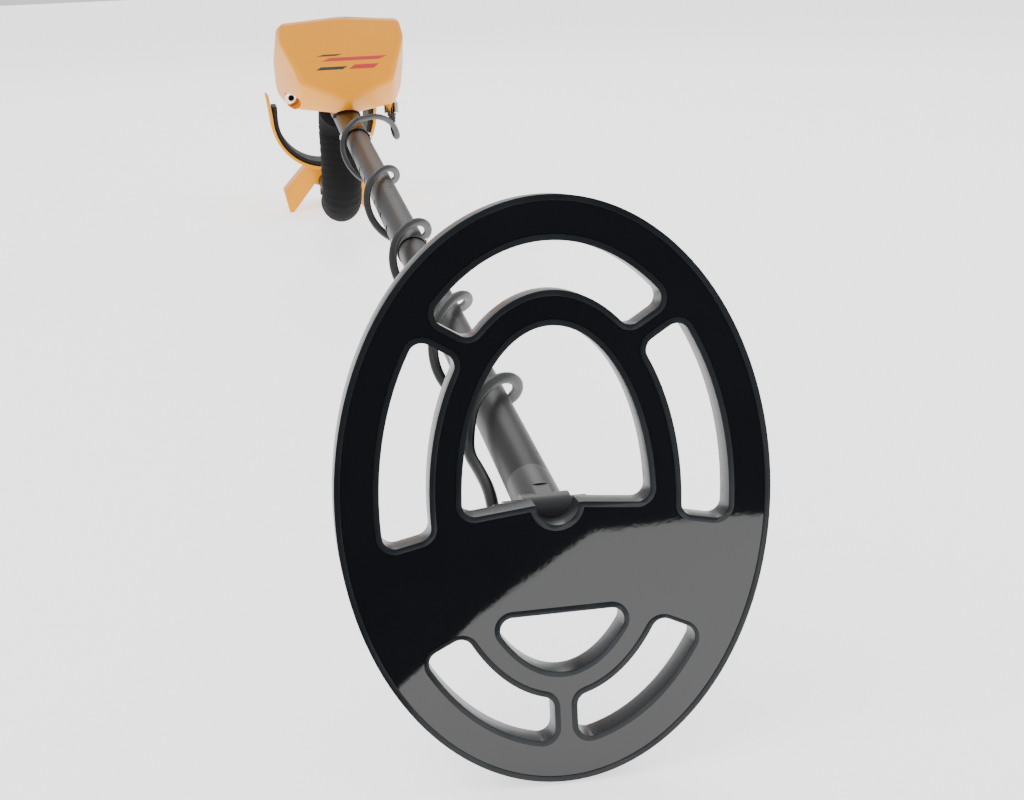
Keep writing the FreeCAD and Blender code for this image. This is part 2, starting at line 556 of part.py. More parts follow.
def box_pieces():
    whole, hollow = box_form(0.0), box_form(BOX_WALL)
    ahead = block((-100, 700, -60), (100, BOX_SEAM - 0.01, 200))
    behind = block((-100, BOX_SEAM + 0.01, -60), (100, 1100, 200))
    front, rear = whole.common(ahead), whole.common(behind)

    # Front shell: skirts beside the rod, the phone jack's recess and four screw posts.
    skirt = block((CHANNEL_RADIUS, 864, 4.8), (26, 925, 12))
    skirt = rounded_corners(skirt, 3.0, Y_AXIS)
    front = fuse([front, skirt, mirrored(skirt)])
    front = front.cut(hollow)
    pocket = rod_between((JACK[0], 860, JACK[2]), (JACK[0], JACK[1], JACK[2]), 8.0)
    pocket_wall = rod_between((JACK[0], 884, JACK[2]), (JACK[0], JACK[1] + 2.2, JACK[2]), 9.6)
    front = fuse([front, pocket_wall.common(whole)]).cut(pocket)
    front = front.cut(rod_between((JACK[0], 880, JACK[2]), (JACK[0], 930, JACK[2]), 4.6))
    front = front.cut(on_socket(rod_between((0, 0, -12), (0, 0, 6), 6.05)))
    posts = [rod_between((x, 905, w), (x, BOX_SEAM - 0.01, w), 3.6)
             for x, w in HOUSING_SCREWS]
    for post in posts:
        front = front.fuse(post.common(whole))
    for x, w in HOUSING_SCREWS:
        front = front.cut(rod_between((x, 908, w), (x, 940, w), 1.25))
    ledge = on_roof(block((-28.0, -15.9, -4.4), (28.0, 15.9, -1.0))).common(whole)
    front = front.fuse(ledge)
    front = front.cut(on_roof(rounded_slab(24.5, 12.7, -9, 9, 2.0)))
    front = front.cut(on_roof(rounded_slab(DOOR_HALF[0] + 0.25, DOOR_HALF[1] + 0.25, -2.2, 9, 3.0)))
    for s in SADDLE_SCREWS:
        front = front.cut(rod_between((0, s, 10), (0, s, 17.5), 1.6))
    on_shaft("front_shell", front.removeSplitter())

    # Rear shell: display opening, four button holes, speaker slots and screw holes.
    rear = rear.cut(hollow)
    rear = rear.cut(on_panel(rounded_slab(37.0, 17.0, -10, 5, 2.0, (0, 15))))
    for x in BUTTON_X:
        rear = rear.cut(on_panel(rounded_slab(BUTTON_HALF[0] + 0.35, BUTTON_HALF[1] + 0.35, -10, 5, 3.0,
                                              (x, BUTTON_Y))))
    for step in range(5):
        rear = rear.cut(on_panel(block((-16, -33 + 2.6 * step, -10), (16, -31.6 + 2.6 * step, 5))))
    for x, w in HOUSING_SCREWS:
        column = rod_between((x, BOX_SEAM + 0.01, w), (x, 985, w), 3.6).common(whole)
        rear = rear.fuse(column).cut(rod_between((x, 930, w), (x, 990, w), 1.6))
        rear = rear.cut(rod_between((x, 942, w), (x, 1000, w), 3.0))
    on_shaft("rear_shell", rear.removeSplitter())

    # Screws that close the box, driven from behind.
    screws = [fuse([rod_between((x, 910, w), (x, 942.05, w), 1.2), rod_between((x, 942.05, w), (x, 944.5, w), 2.9)])
              for x, w in HOUSING_SCREWS]
    on_shaft("housing_screws", Part.makeCompound(screws))

    # The saddle between the rod and the box, and its two screws from below.
    saddle = tube_between((0, 860, 0), (0, 926, 0), CHANNEL_RADIUS - 0.02, ROD_TUBE[0] + 0.02)
    saddle = saddle.cut(block((-20, 850, -20), (20, 940, 2)))
    for s in SADDLE_SCREWS:
        saddle = saddle.cut(rod_between((0, s, 0), (0, s, 20), 2.1))
    on_shaft("mount_saddle", saddle)
    on_shaft("saddle_screws", Part.makeCompound([
        fuse([rod_between((0, s, -15), (0, s, -12.03), 3.6), rod_between((0, s, -12.1), (0, s, 16.7), 1.55)])
        for s in SADDLE_SCREWS]))

    # Panel overlay, window, display, buttons and board, all parallel to the rear panel.
    overlay = rounded_slab(54.0, 34.0, 0.02, 0.6, 5.0, (0, -1))
    overlay = overlay.cut(rounded_slab(35.0, 15.0, -1, 2, 2.0, (0, 15)))
    for x in BUTTON_X:
        overlay = overlay.cut(rounded_slab(BUTTON_HALF[0] + 0.35, BUTTON_HALF[1] + 0.35, -1, 2, 3.0,
                                           (x, BUTTON_Y)))
    for step in range(5):
        overlay = overlay.cut(block((-16, -33 + 2.6 * step, -1), (16, -31.6 + 2.6 * step, 2)))
    on_shaft("panel_overlay", on_panel(overlay))
    on_shaft("display_window", on_panel(rounded_slab(36.8, 16.8, -1.5, 0.0, 2.0, (0, 15))))
    lcd = rounded_slab(35.5, 16.0, -6.5, -2.6, 1.0, (0, 15))
    on_shaft("display_module", on_panel(lcd))
    for name, x in zip(BUTTON_NAMES, BUTTON_X):
        cap = rounded_slab(BUTTON_HALF[0], BUTTON_HALF[1], -3.4, 2.2, 3.0, (x, BUTTON_Y))
        cap = rounded_at(cap, 0.8, lambda middle, edge: abs(edge.BoundBox.ZMin - 2.2) < 1e-3)
        on_shaft(name, on_panel(cap))
    switches = [block((x - 3, BUTTON_Y - 3, -7.0), (x + 3, BUTTON_Y + 3, -4.7)) for x in BUTTON_X]
    board = rounded_slab(48.0, 27.0, -8.6, -7.0, 2.0, (0, 6))
    on_shaft("circuit_board", on_panel(fuse([board] + switches)))
    speaker = fuse([rod_between((0, -26.5, -5.4), (0, -26.5, -3.1), 9.0), rod_between((0, -26.5, -9.4),
                                                                                      (0, -26.5, -5.4), 5.0)])
    speaker = speaker.common(block((-60, -31.0, -20), (60, -21.3, 5)))
    on_shaft("speaker", on_panel(speaker))

    # Batteries: four cells in two layers lie across the box, under a lift-off door in its roof.
    cell_r, low_w, low_s = 7.1, 57.0, 907.9
    cells, contacts = [], []
    for row in range(2):
        for layer in range(2):
            s, w = low_s + row * 14.7, low_w + layer * 14.7
            cells.append(fuse([rod_between((6.0, s, w), (55.0, s, w), cell_r),
                               rod_between((55, s, w), (56.2, s, w), 2.7)]))
            contacts.append(Part.makeCone(5.2, 2.6, 3.2, V(2.8, s, w), X_AXIS).cut(
                Part.makeCone(4.4, 1.8, 3.4, V(2.7, s, w), X_AXIS)))
            contacts.append(block((56.25, s - 4.5, w - 4.5), (56.65, s + 4.5, w + 4.5)))
    tray = block((1.0, low_s - 8.7, low_w - 8.9), (56.2, low_s + 23.4, low_w + 19.0))
    tray = tray.cut(block((2.6, low_s - 7.3, low_w - 7.4), (60, low_s + 22.0, low_w + 40)))
    on_shaft("battery_holder", tray)
    on_shaft("battery_cells", Part.makeCompound(cells))
    on_shaft("battery_contacts", Part.makeCompound(contacts))
    door = rounded_slab(DOOR_HALF[0], DOOR_HALF[1], -2.2, 0.0, 2.8)
    grooves = [block((-9, -6 + 3 * k, -0.6), (9, -4.8 + 3 * k, 1)) for k in range(5)]
    for groove in grooves:
        door = door.cut(groove)
    on_shaft("battery_door", on_roof(door))

    # The phone jack looks forward from its recess; the cable socket looks down and a little forward.
    x, s, w = JACK
    jack = fuse([rod_between((x, s - 2.0, w), (x, s, w), 6.2), rod_between((x, s, w), (x, s + 24, w), 4.5)])
    jack = jack.cut(rod_between((x, s - 5, w), (x, s + 30, w), 3.2))
    on_shaft("headphone_jack", jack)
    socket = rod_between((0, 0, -9), (0, 0, 5.0), 6.0).cut(rod_between((0, 0, -6), (0, 0, 6), 4.6))
    pins = [rod_between((2.4 * math.cos(a), 2.4 * math.sin(a), -6.5), (2.4 * math.cos(a), 2.4 * math.sin(a), 0.5), 0.5)
            for a in [math.radians(45 + 90 * k) for k in range(4)]]
    on_shaft("cable_socket", on_socket(fuse([socket] + pins)))


HOUSING_SCREWS = [(-59.5, 27.0), (60.0, 26.0), (-56.8, 74.0), (60.2, 62.0)]


def plug_pieces():
    body = fuse([rod_between((0, 0, 0.8), (0, 0, 5.0), 4.5), rod_between((0, 0, 5.05), (0, 0, 13.4), 4.6),
                 rod_between((0, 0, 4.9), (0, 0, 6.0), 4.4)])
    on_shaft("cable_plug", on_socket(body))
    collar = tube_between((0, 0, 2.4), (0, 0, 12.4), 7.4, 6.06)
    lip = tube_between((0, 0, 10.4), (0, 0, 12.4), 7.4, 4.66)
    collar = fuse([collar, lip])
    for step in range(16):
        turn = math.radians(22.5 * step)
        collar = collar.cut(rod_between((7.7 * math.cos(turn), 7.7 * math.sin(turn), 0),
                                        (7.7 * math.cos(turn), 7.7 * math.sin(turn), 14), 0.6))
    on_shaft("coupling_ring", on_socket(collar))
    relief = Part.makeCone(4.6, 3.6, RELIEF_LENGTH - 13.4, V(0, 0, 13.4), Z_AXIS)
    for step in range(2):
        at = 15.4 + 3.2 * step
        relief = relief.cut(tube_between((0, 0, at), (0, 0, at + 1.3), 6, 3.35))
    on_shaft("strain_relief", on_socket(relief))


# ---------------------------------------------------------------- the coil cable, in the shaft frame
RELIEF_LENGTH = 22.0
TURN_RADIUS = 16.9
HALF_TURNS = [714.0, 593.0, 509.0, 420.0, 349.0, 262.0, 176.0, 123.0, 70.0]
STEPS = 6                             # points in each half turn
OVER_THE_ROD = 756.0


def winding_points():
    """The cable's turns round the shaft, from over the rod's front end down to the coil."""
    points = []
    for step in range(3):
        angle, radius = math.radians(90 + 30 * step), TURN_RADIUS + 1.0 - 0.5 * step
        points.append((radius * math.cos(angle), OVER_THE_ROD - 14 * step, radius * math.sin(angle)))
    for half, (top, bottom) in enumerate(zip(HALF_TURNS, HALF_TURNS[1:])):
        for step in range(STEPS):
            angle = math.pi * (1 + half + step / STEPS)
            s = top + (bottom - top) * step / STEPS
            points.append((TURN_RADIUS * math.cos(angle), s, TURN_RADIUS * math.sin(angle)))
    points.append((-TURN_RADIUS, HALF_TURNS[-1], 0))
    return points


def socket_axis_point(reach):
    lean = math.radians(SOCKET_LEAN)
    return (SOCKET[0], SOCKET[1] - reach * math.sin(lean), SOCKET[2] - reach * math.cos(lean))


LEAD_POINTS = [(50.4, 892.5, -23.5), (51.2, 879.0, -24.5), (50.6, 864.0, -20.5), (47.6, 849.0, -12.0),
               (42.6, 834.0, -2.5), (35.6, 818.0, 5.5), (27.0, 801.0, 11.5), (16.0, 783.0, 16.0)]
# From the shaft down to the gland, in the coil frame.
COIL_LEAD_POINTS = [(-15.4, 7.2, 82.0), (-14.0, 12.5, 66.0), (-14.8, 21.5, 52.0), (-17.2, 30.0, 41.0),
                    (-19.4, 35.6, 32.5)]


def cord_tube(name, points):
    """Straight runs joined by arcs as large as the two runs allow."""
    points = [V(*p) for p in points]
    radii = []
    for before, corner, after in zip(points, points[1:], points[2:]):
        runs = (corner - before).Length, (after - corner).Length
        half_turn = (corner - before).getAngle(after - corner) / 2
        radii.append(0.45 * min(runs) / math.tan(half_turn))
    wire = path_wire(points, radii)
    tube = swept_round(wire, CABLE_RADIUS)
    section = math.pi * CABLE_RADIUS ** 2
    print(name, "points", len(points), "length %.0f" % wire.Length, "least radius %.1f" % min(radii),
          "all radii", [round(r) for r in radii[:12]], "volume ratio %.3f" % (tube.Volume / wire.Length / section))
    return tube


def cable_pieces():
    turns = winding_points()
    lead = [socket_axis_point(RELIEF_LENGTH), socket_axis_point(RELIEF_LENGTH + 4.5)] + LEAD_POINTS
    lead.append(turns[0])
    on_shaft("box_lead", cord_tube("box_lead", lead))
    on_shaft("shaft_winding", cord_tube("shaft_winding", turns))
    onward = V(*turns[-1]) + (V(*turns[-1]) - V(*turns[-2])).normalize() * 6
    coil_lead = [coil_frame_of(turns[-1]), coil_frame_of(onward)] + COIL_LEAD_POINTS
    coil_lead.append((GLAND_X, GLAND_Y, GLAND_TOP))
    on_coil("coil_lead", cord_tube("coil_lead", coil_lead))


# ---------------------------------------------------------------- placing everything in the row frame
COIL_LEAN = SHAFT_RISE - (90 - SHAFT_TO_TOE)      # the coil's top faces back and down by this much
TO_COIL_TILT = COIL_LEAN - 90                     # turns the coil frame into the row frame


def root_in_row():
    """Where the shaft's zero station is when the coil's heel rests on the floor, before centring."""
    lean = math.radians(COIL_LEAN)
    height = ((COIL_HALF_LENGTH - RING_ROUNDING) * math.cos(lean)
              - (RING_HEIGHT - RING_ROUNDING) * math.sin(lean) + RING_ROUNDING)
    return V(0, ROOT_Y * math.sin(lean) + ROOT_Z * math.cos(lean),
             height - ROOT_Y * math.cos(lean) + ROOT_Z * math.sin(lean))


def coil_frame_of(point):
    """A shaft-frame point in the coil frame."""
    turn = FreeCAD.Rotation(X_AXIS, SHAFT_RISE - TO_COIL_TILT)
    moved = turn.multVec(V(*point)) + V(0, ROOT_Y, ROOT_Z)
    return (moved.x, moved.y, moved.z)


def placed_pieces():
    """Every piece in the row frame, whose origin is on the floor under the middle of its length."""
    root = root_in_row()
    shaft_place = FreeCAD.Placement(root, FreeCAD.Rotation(X_AXIS, SHAFT_RISE))
    coil_turn = FreeCAD.Rotation(X_AXIS, TO_COIL_TILT)
    coil_place = FreeCAD.Placement(root - coil_turn.multVec(V(0, ROOT_Y, ROOT_Z)), coil_turn)
    pieces = {}
    for group, place in ((SHAFT_PIECES, shaft_place), (COIL_PIECES, coil_place)):
        for name, shape in group.items():
            pieces[name] = moved(shape, place)
    floor = block((-300, -300, -300), (300, 2000, 0))
    pieces["arm_cuff"] = pieces["arm_cuff"].cut(floor)
    boxes = [shape.optimalBoundingBox() for name, shape in pieces.items() if name not in CORD_PIECES]
    middle = (min(b.YMin for b in boxes) + max(b.YMax for b in boxes)) / 2
    for shape in pieces.values():
        shape.translate(V(0, -middle, 0))
    shaft_place.Base.y -= middle
    coil_place.Base.y -= middle
    report_places(shaft_place, coil_place, middle)
    return pieces


def moved(shape, place):
    shape = shape.copy()
    shape.Placement = place.multiply(shape.Placement)
    return shape


CORD_PIECES = ("box_lead", "shaft_winding", "coil_lead", "cable_plug", "coupling_ring", "strain_relief",
               "coil_cable_gland")


def report_places(shaft_place, coil_place, middle):
    at = lambda place, point: [round(c, 3) for c in place.multVec(V(*point))]
    along = lambda place, axis: [round(c, 6) for c in place.Rotation.multVec(V(*axis))]
    print("pivot", at(shaft_place, (0, 0, 0)), "middle", round(middle, 3))
    print("shaft axis", along(shaft_place, (0, 1, 0)), "shaft up", along(shaft_place, (0, 0, 1)))
    print("coil origin", at(coil_place, (0, 0, 0)), "coil top", along(coil_place, (0, 0, 1)),
          "coil heel", along(coil_place, (0, 1, 0)))
    tilt = math.radians(PANEL_TILT)
    print("panel out", along(shaft_place, (0, math.cos(tilt), math.sin(tilt))), "socket",
          at(shaft_place, SOCKET), "socket out",
          along(shaft_place, (0, -math.sin(math.radians(SOCKET_LEAN)), -math.cos(math.radians(SOCKET_LEAN)))))
    print("jack mouth", at(shaft_place, (JACK[0], JACK[1] - 2, JACK[2])))


def main():
    coil_pieces()
    shaft_pieces()
    rod_pieces()
    cuff_pieces()
    box_pieces()
    plug_pieces()
    cable_pieces()
    os.makedirs("parts", exist_ok=True)
    for name, shape in placed_pieces().items():
        if not shape.isValid():
            print("INVALID", name)
        solids = shape.Solids
        print("%-26s solids %2d volume %10.0f" % (name, len(solids), sum(s.Volume for s in solids)))
        shape.exportStep("parts/" + name + ".step")


main()
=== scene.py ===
import bpy, bmesh, json, math, random
from mathutils import Matrix, Vector
from mathutils.bvhtree import BVHTree

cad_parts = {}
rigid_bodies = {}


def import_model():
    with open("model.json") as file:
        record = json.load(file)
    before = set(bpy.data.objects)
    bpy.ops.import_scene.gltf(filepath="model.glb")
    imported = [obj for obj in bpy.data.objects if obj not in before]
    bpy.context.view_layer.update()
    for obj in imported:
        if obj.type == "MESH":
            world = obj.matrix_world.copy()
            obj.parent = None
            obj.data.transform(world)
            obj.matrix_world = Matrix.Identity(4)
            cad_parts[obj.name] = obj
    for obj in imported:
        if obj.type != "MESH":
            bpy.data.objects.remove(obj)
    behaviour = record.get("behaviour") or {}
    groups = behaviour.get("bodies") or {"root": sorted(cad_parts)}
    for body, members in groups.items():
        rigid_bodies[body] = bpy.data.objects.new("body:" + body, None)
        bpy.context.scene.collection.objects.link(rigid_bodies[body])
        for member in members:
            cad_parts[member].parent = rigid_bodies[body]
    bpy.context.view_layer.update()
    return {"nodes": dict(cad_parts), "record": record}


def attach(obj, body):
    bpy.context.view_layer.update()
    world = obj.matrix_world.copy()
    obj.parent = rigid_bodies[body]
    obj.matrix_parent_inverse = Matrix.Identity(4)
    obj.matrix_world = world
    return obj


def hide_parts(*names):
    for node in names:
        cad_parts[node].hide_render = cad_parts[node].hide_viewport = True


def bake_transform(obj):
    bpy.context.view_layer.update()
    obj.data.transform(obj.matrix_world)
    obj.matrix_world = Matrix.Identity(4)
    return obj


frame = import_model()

# %% [markdown]
# A metal detector stands on the heel of its search coil and on two feet under its arm cuff.
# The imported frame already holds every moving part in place. This lesson gives those parts their
# finishes and makes again the ones whose real shape is softer than the frame's: the cable, the
# moulded box, the foam grip, the cuff's padding and the cast resin under the coil.

# %% The two frames that pieces are modelled in
MM = 0.001
joints = {joint["name"]: joint for joint in frame["record"]["behaviour"]["joints"]}
along = Vector(joints["stem_length"]["axis"]).normalized()
above = Vector((1, 0, 0)).cross(along)


def frame_matrix(x_axis, y_axis, z_axis, origin):
    """Turns millimetres in a local frame into metres in the row's frame."""
    columns = Matrix((x_axis, y_axis, z_axis)).transposed().to_4x4()
    return Matrix.Translation(origin) @ columns @ Matrix.Scale(MM, 4)


SOCKET = Vector((50.0, 908.0, 8.0))
socket_from_root = (Vector((SOCKET.x, 0, 0)) + along * SOCKET.y + above * SOCKET.z) * MM
root = Vector(joints["coupling_ring_turn"]["pos_m"]) - socket_from_root
SHAFT = frame_matrix(Vector((1, 0, 0)), along, above, root)
SHAFT_TO_TOE = math.radians(78.5)
to_toe = (along * math.cos(SHAFT_TO_TOE) + above * math.sin(SHAFT_TO_TOE)).normalized()
coil_top = Vector((1, 0, 0)).cross(-to_toe)
ROOT_IN_COIL = Vector((0, 11.0, 30.0))
COIL = frame_matrix(Vector((1, 0, 0)), -to_toe, coil_top, Vector((0, 0, 0)))
COIL = Matrix.Translation(root - COIL @ ROOT_IN_COIL) @ COIL
print("shaft starts at", [round(c, 4) for c in root], "coil top faces", [round(c, 3) for c in coil_top])

# %% [markdown]
# The camera is a plain perspective one, low and close in front of the coil. The near coil looks
# large and the box and cuff, more than a metre further back, look small. Its picture is shifted
# rather than turned, so the coil keeps its true outline.

# %% The camera
camera_data = bpy.data.cameras.new("camera")
camera = bpy.data.objects.new("camera", camera_data)
bpy.context.scene.collection.objects.link(camera)
camera_right = Vector((0.98867, -0.14456, -0.04039))
camera_up = Vector((0.08312, 0.30331, 0.94926))
camera_back = Vector((-0.12497, -0.94186, 0.31189))
turn = Matrix((camera_right, camera_up, camera_back)).transposed().to_4x4()
camera.matrix_world = Matrix.Translation((-0.10603, -1.11685, 0.31074)) @ turn
camera_data.sensor_width = 36.0
camera_data.lens = 46.64
camera_data.shift_x = 0.0807
camera_data.shift_y = -0.0117
camera_data.clip_start = 0.02
bpy.context.scene.camera = camera
print("camera", [round(c, 3) for c in camera.location])

# %% [markdown]
# One cable joins the box to the coil. It leaves the plug under the box, makes a small loop, goes
# over the rod and winds round the shaft in loose turns down to the coil. It could be one long
# tube, but it crosses two joints: the shaft's length and the coil's tilt. So it is made as three
# lengths that meet end to end. Each is a tube round a
# smooth spline, which is what a real cable of this thickness does between its turns.

# %% The cable's route
CABLE_RADIUS = 0.0027
SOCKET_LEAN, RELIEF_LENGTH = math.radians(14.0), 22.0
socket_out = Vector((0, -math.sin(SOCKET_LEAN), -math.cos(SOCKET_LEAN)))
TURN_RADIUS, OVER_THE_ROD, STEPS = 16.9, 756.0, 6
HALF_TURNS = [714.0, 593.0, 509.0, 420.0, 349.0, 262.0, 176.0, 123.0, 70.0]
GLAND = Vector((-20.0, 37.0, 24.0))


def winding_route():
    points = []
    for step in range(3):
        angle, radius = math.radians(90 + 30 * step), TURN_RADIUS + 1.0 - 0.5 * step
        points.append((radius * math.cos(angle), OVER_THE_ROD - 14 * step, radius * math.sin(angle)))
    for half, (top, bottom) in enumerate(zip(HALF_TURNS, HALF_TURNS[1:])):
        for step in range(STEPS):
            angle = math.pi * (1 + half + step / STEPS)
            s = top + (bottom - top) * step / STEPS
            points.append((TURN_RADIUS * math.cos(angle), s, TURN_RADIUS * math.sin(angle)))
    points.append((-TURN_RADIUS, HALF_TURNS[-1], 0))
    return points


lead_route = [tuple(SOCKET + socket_out * RELIEF_LENGTH), tuple(SOCKET + socket_out * (RELIEF_LENGTH + 4.5)),
              (50.4, 892.5, -23.5), (51.2, 879.0, -24.5), (50.6, 864.0, -20.5), (47.6, 849.0, -12.0),
              (42.6, 834.0, -2.5), (35.6, 818.0, 5.5), (27.0, 801.0, 11.5), (16.0, 783.0, 16.0),
              winding_route()[0]]
coil_route = [(-15.4, 7.2, 82.0), (-14.0, 12.5, 66.0), (-14.8, 21.5, 52.0), (-17.2, 30.0, 41.0),
              (-19.4, 35.6, 32.5), tuple(GLAND)]
lead_route = [SHAFT @ Vector(p) for p in lead_route]
shaft_route = [SHAFT @ Vector(p) for p in winding_route()]
onward = shaft_route[-1] + (shaft_route[-1] - shaft_route[-2]).normalized() * 0.006
coil_route = [shaft_route[-1], onward] + [COIL @ Vector(p) for p in coil_route]
print("route points", len(lead_route), len(shaft_route), len(coil_route))


# %% A spline through a route, and the tube round it
def route_spline(name, route, bevel):
    curve = bpy.data.curves.new(name, "CURVE")
    curve.dimensions = "3D"
    spline = curve.splines.new("NURBS")
    spline.points.add(len(route) - 1)
    for point, place in zip(spline.points, route):
        point.co = (*place, 1.0)
    spline.order_u = 3
    spline.use_endpoint_u = True
    spline.resolution_u = 8
    curve.bevel_depth = bevel
    curve.bevel_resolution = 5
    curve.use_fill_caps = bevel > 0
    return bpy.data.objects.new(name, curve)


def mesh_of(source):
    """The mesh that an object shows, with its modifiers or bevel applied."""
    bpy.context.scene.collection.objects.link(source)
    bpy.context.view_layer.update()
    seen = source.evaluated_get(bpy.context.evaluated_depsgraph_get())
    mesh = bpy.data.meshes.new_from_object(seen)
    bpy.data.objects.remove(source)
    return mesh


def add_piece(name, mesh, *finishes):
    piece = bpy.data.objects.new(name, mesh)
    mesh.name = name
    mesh.materials.clear()
    for finish in finishes:
        mesh.materials.append(finish)
    bpy.context.scene.collection.objects.link(piece)
    return piece


def cable_length(name, route):
    line = [v.co.copy() for v in mesh_of(route_spline(name + "_line", route, 0.0)).vertices]
    piece = add_piece(name, mesh_of(route_spline(name, route, CABLE_RADIUS)))
    piece.data.polygons.foreach_set("use_smooth", [True] * len(piece.data.polygons))
    length = sum((b - a).length for a, b in zip(line, line[1:]))
    print(name, "length %.3f m" % length, len(line), "points")
    return piece, line, length


# %% The three lengths of cable
box_lead, box_line, box_length = cable_length("box_cable", lead_route)
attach(box_lead, "shaft")
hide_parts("box_lead")
turns, turns_line, turns_length = cable_length("shaft_cable", shaft_route)
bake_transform(turns)
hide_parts("shaft_winding")
coil_cable, coil_line, coil_length = cable_length("coil_cable", coil_route)
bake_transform(coil_cable)
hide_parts("coil_lead")

# %% [markdown]
# The stage is a pale floor and a pale world under soft light, as in a product studio. The coil's
# underside is a dark mirror, so what stands in front of it matters as much as what lights it. Two
# black cards that only reflections can see stand where a studio's dark side would be. They leave
# a slanting edge between dark and pale in the resin and show in no view themselves.

# %% Floor and world
world = bpy.data.worlds.new("studio")
bpy.context.scene.world = world
world.use_nodes = True
world.node_tree.nodes["Background"].inputs["Color"].default_value = (1.0, 1.0, 1.0, 1.0)
world.node_tree.nodes["Background"].inputs["Strength"].default_value = 1.0
floor_bm = bmesh.new()
bmesh.ops.create_grid(floor_bm, x_segments=1, y_segments=1, size=12.0)
floor_mesh = bpy.data.meshes.new("floor")
floor_bm.to_mesh(floor_mesh)
floor_bm.free()
floor = add_piece("floor", floor_mesh)


# %% Lights and reflection cards
def soft_light(name, place, target, size, watts):
    data = bpy.data.lights.new(name, "AREA")
    data.shape, data.size, data.energy = "SQUARE", size, watts
    light = bpy.data.objects.new(name, data)
    light.location = place
    light.rotation_euler = (Vector(target) - Vector(place)).to_track_quat("-Z", "Y").to_euler()
    bpy.context.scene.collection.objects.link(light)


soft_light("key", (-1.6, -1.2, 2.4), (0, -0.1, 0.1), 1.6, 34)
soft_light("fill", (2.2, -0.4, 1.6), (0, 0.1, 0.1), 1.8, 20)
soft_light("back", (0.4, 2.4, 2.2), (0, 0.2, 0.2), 1.6, 26)


def reflection_card(name, corners):
    card_bm = bmesh.new()
    card_bm.faces.new([card_bm.verts.new(c) for c in corners])
    mesh = bpy.data.meshes.new(name)
    card_bm.to_mesh(mesh)
    card_bm.free()
    card = add_piece(name, mesh)
    card.visible_camera = card.visible_diffuse = card.visible_shadow = False
    card.visible_transmission = card.visible_volume_scatter = False
    return card


standing_card = reflection_card("standing_card", [(-4, -1.255, 0.0), (4, -1.255, 0.0), (4, -1.6, 3.2),
                                                  (-4, -1.6, 3.2)])
lying_card = reflection_card("lying_card", [(-0.075, -0.70, 0.002), (-0.05, -0.843, 0.002),
                                            (0.014, -0.977, 0.002), (0.077, -1.095, 0.002),
                                            (0.163, -1.256, 0.002), (-4, -1.256, 0.002), (-4, -0.70, 0.002)])
print("stage pieces", [o.name for o in (floor, standing_card, lying_card)])


# %% [markdown]
# Several finishes share the same small effects: a slow drift of tone, a fine moulded grain, and
# rub marks. Each is a node group with named inputs, so that a material only says how large and
# how strong the effect is. They read the piece's own coordinates, so the pattern stays put when
# a part moves.

# %% Building a node group
def new_group(name, inputs, outputs):
    group = bpy.data.node_groups.new(name, "ShaderNodeTree")
    for label, kind, value in inputs:
        socket = group.interface.new_socket(name=label, in_out="INPUT", socket_type=kind)
        if value is not None:
            socket.default_value = value
    for label, kind in outputs:
        group.interface.new_socket(name=label, in_out="OUTPUT", socket_type=kind)
    return group, group.nodes.new("NodeGroupInput"), group.nodes.new("NodeGroupOutput")


FLOAT, COLOUR, VECTOR = "NodeSocketFloat", "NodeSocketColor", "NodeSocketVector"


# %% Slow drift of tone
tone_group, entry, leave = new_group(
    "tone drift", [("Vector", VECTOR, None), ("Scale", FLOAT, 20.0), ("Amount", FLOAT, 0.1),
                   ("Colour", COLOUR, (0.5, 0.5, 0.5, 1)), ("Other Colour", COLOUR, (0.4, 0.4, 0.4, 1))],
    [("Colour", COLOUR), ("Mask", FLOAT)])
noise = tone_group.nodes.new("ShaderNodeTexNoise")
noise.inputs["Detail"].default_value = 5.0
span = tone_group.nodes.new("ShaderNodeMapRange")
span.inputs["From Min"].default_value, span.inputs["From Max"].default_value = 0.35, 0.68
share = tone_group.nodes.new("ShaderNodeMath")
share.operation = "MULTIPLY"
blend = tone_group.nodes.new("ShaderNodeMix")
blend.data_type = "RGBA"
links = tone_group.links
links.new(entry.outputs["Vector"], noise.inputs["Vector"])
links.new(entry.outputs["Scale"], noise.inputs["Scale"])
links.new(noise.outputs["Fac"], span.inputs["Value"])
links.new(span.outputs["Result"], share.inputs[0])
links.new(entry.outputs["Amount"], share.inputs[1])
links.new(share.outputs[0], blend.inputs["Factor"])
links.new(entry.outputs["Colour"], blend.inputs[6])
links.new(entry.outputs["Other Colour"], blend.inputs[7])
links.new(blend.outputs[2], leave.inputs["Colour"])
links.new(span.outputs["Result"], leave.inputs["Mask"])

# %% Fine grain, as a height
grain_group, entry, leave = new_group(
    "fine grain", [("Vector", VECTOR, None), ("Grain Scale", FLOAT, 900.0), ("Wave Scale", FLOAT, 60.0),
                   ("Wave Share", FLOAT, 0.3)], [("Height", FLOAT)])
fine = grain_group.nodes.new("ShaderNodeTexNoise")
fine.inputs["Detail"].default_value = 3.0
slow = grain_group.nodes.new("ShaderNodeTexNoise")
mixed = grain_group.nodes.new("ShaderNodeMix")
links = grain_group.links
links.new(entry.outputs["Vector"], fine.inputs["Vector"])
links.new(entry.outputs["Vector"], slow.inputs["Vector"])
links.new(entry.outputs["Grain Scale"], fine.inputs["Scale"])
links.new(entry.outputs["Wave Scale"], slow.inputs["Scale"])
links.new(entry.outputs["Wave Share"], mixed.inputs["Factor"])
links.new(fine.outputs["Fac"], mixed.inputs["A"])
links.new(slow.outputs["Fac"], mixed.inputs["B"])
links.new(mixed.outputs["Result"], leave.inputs["Height"])

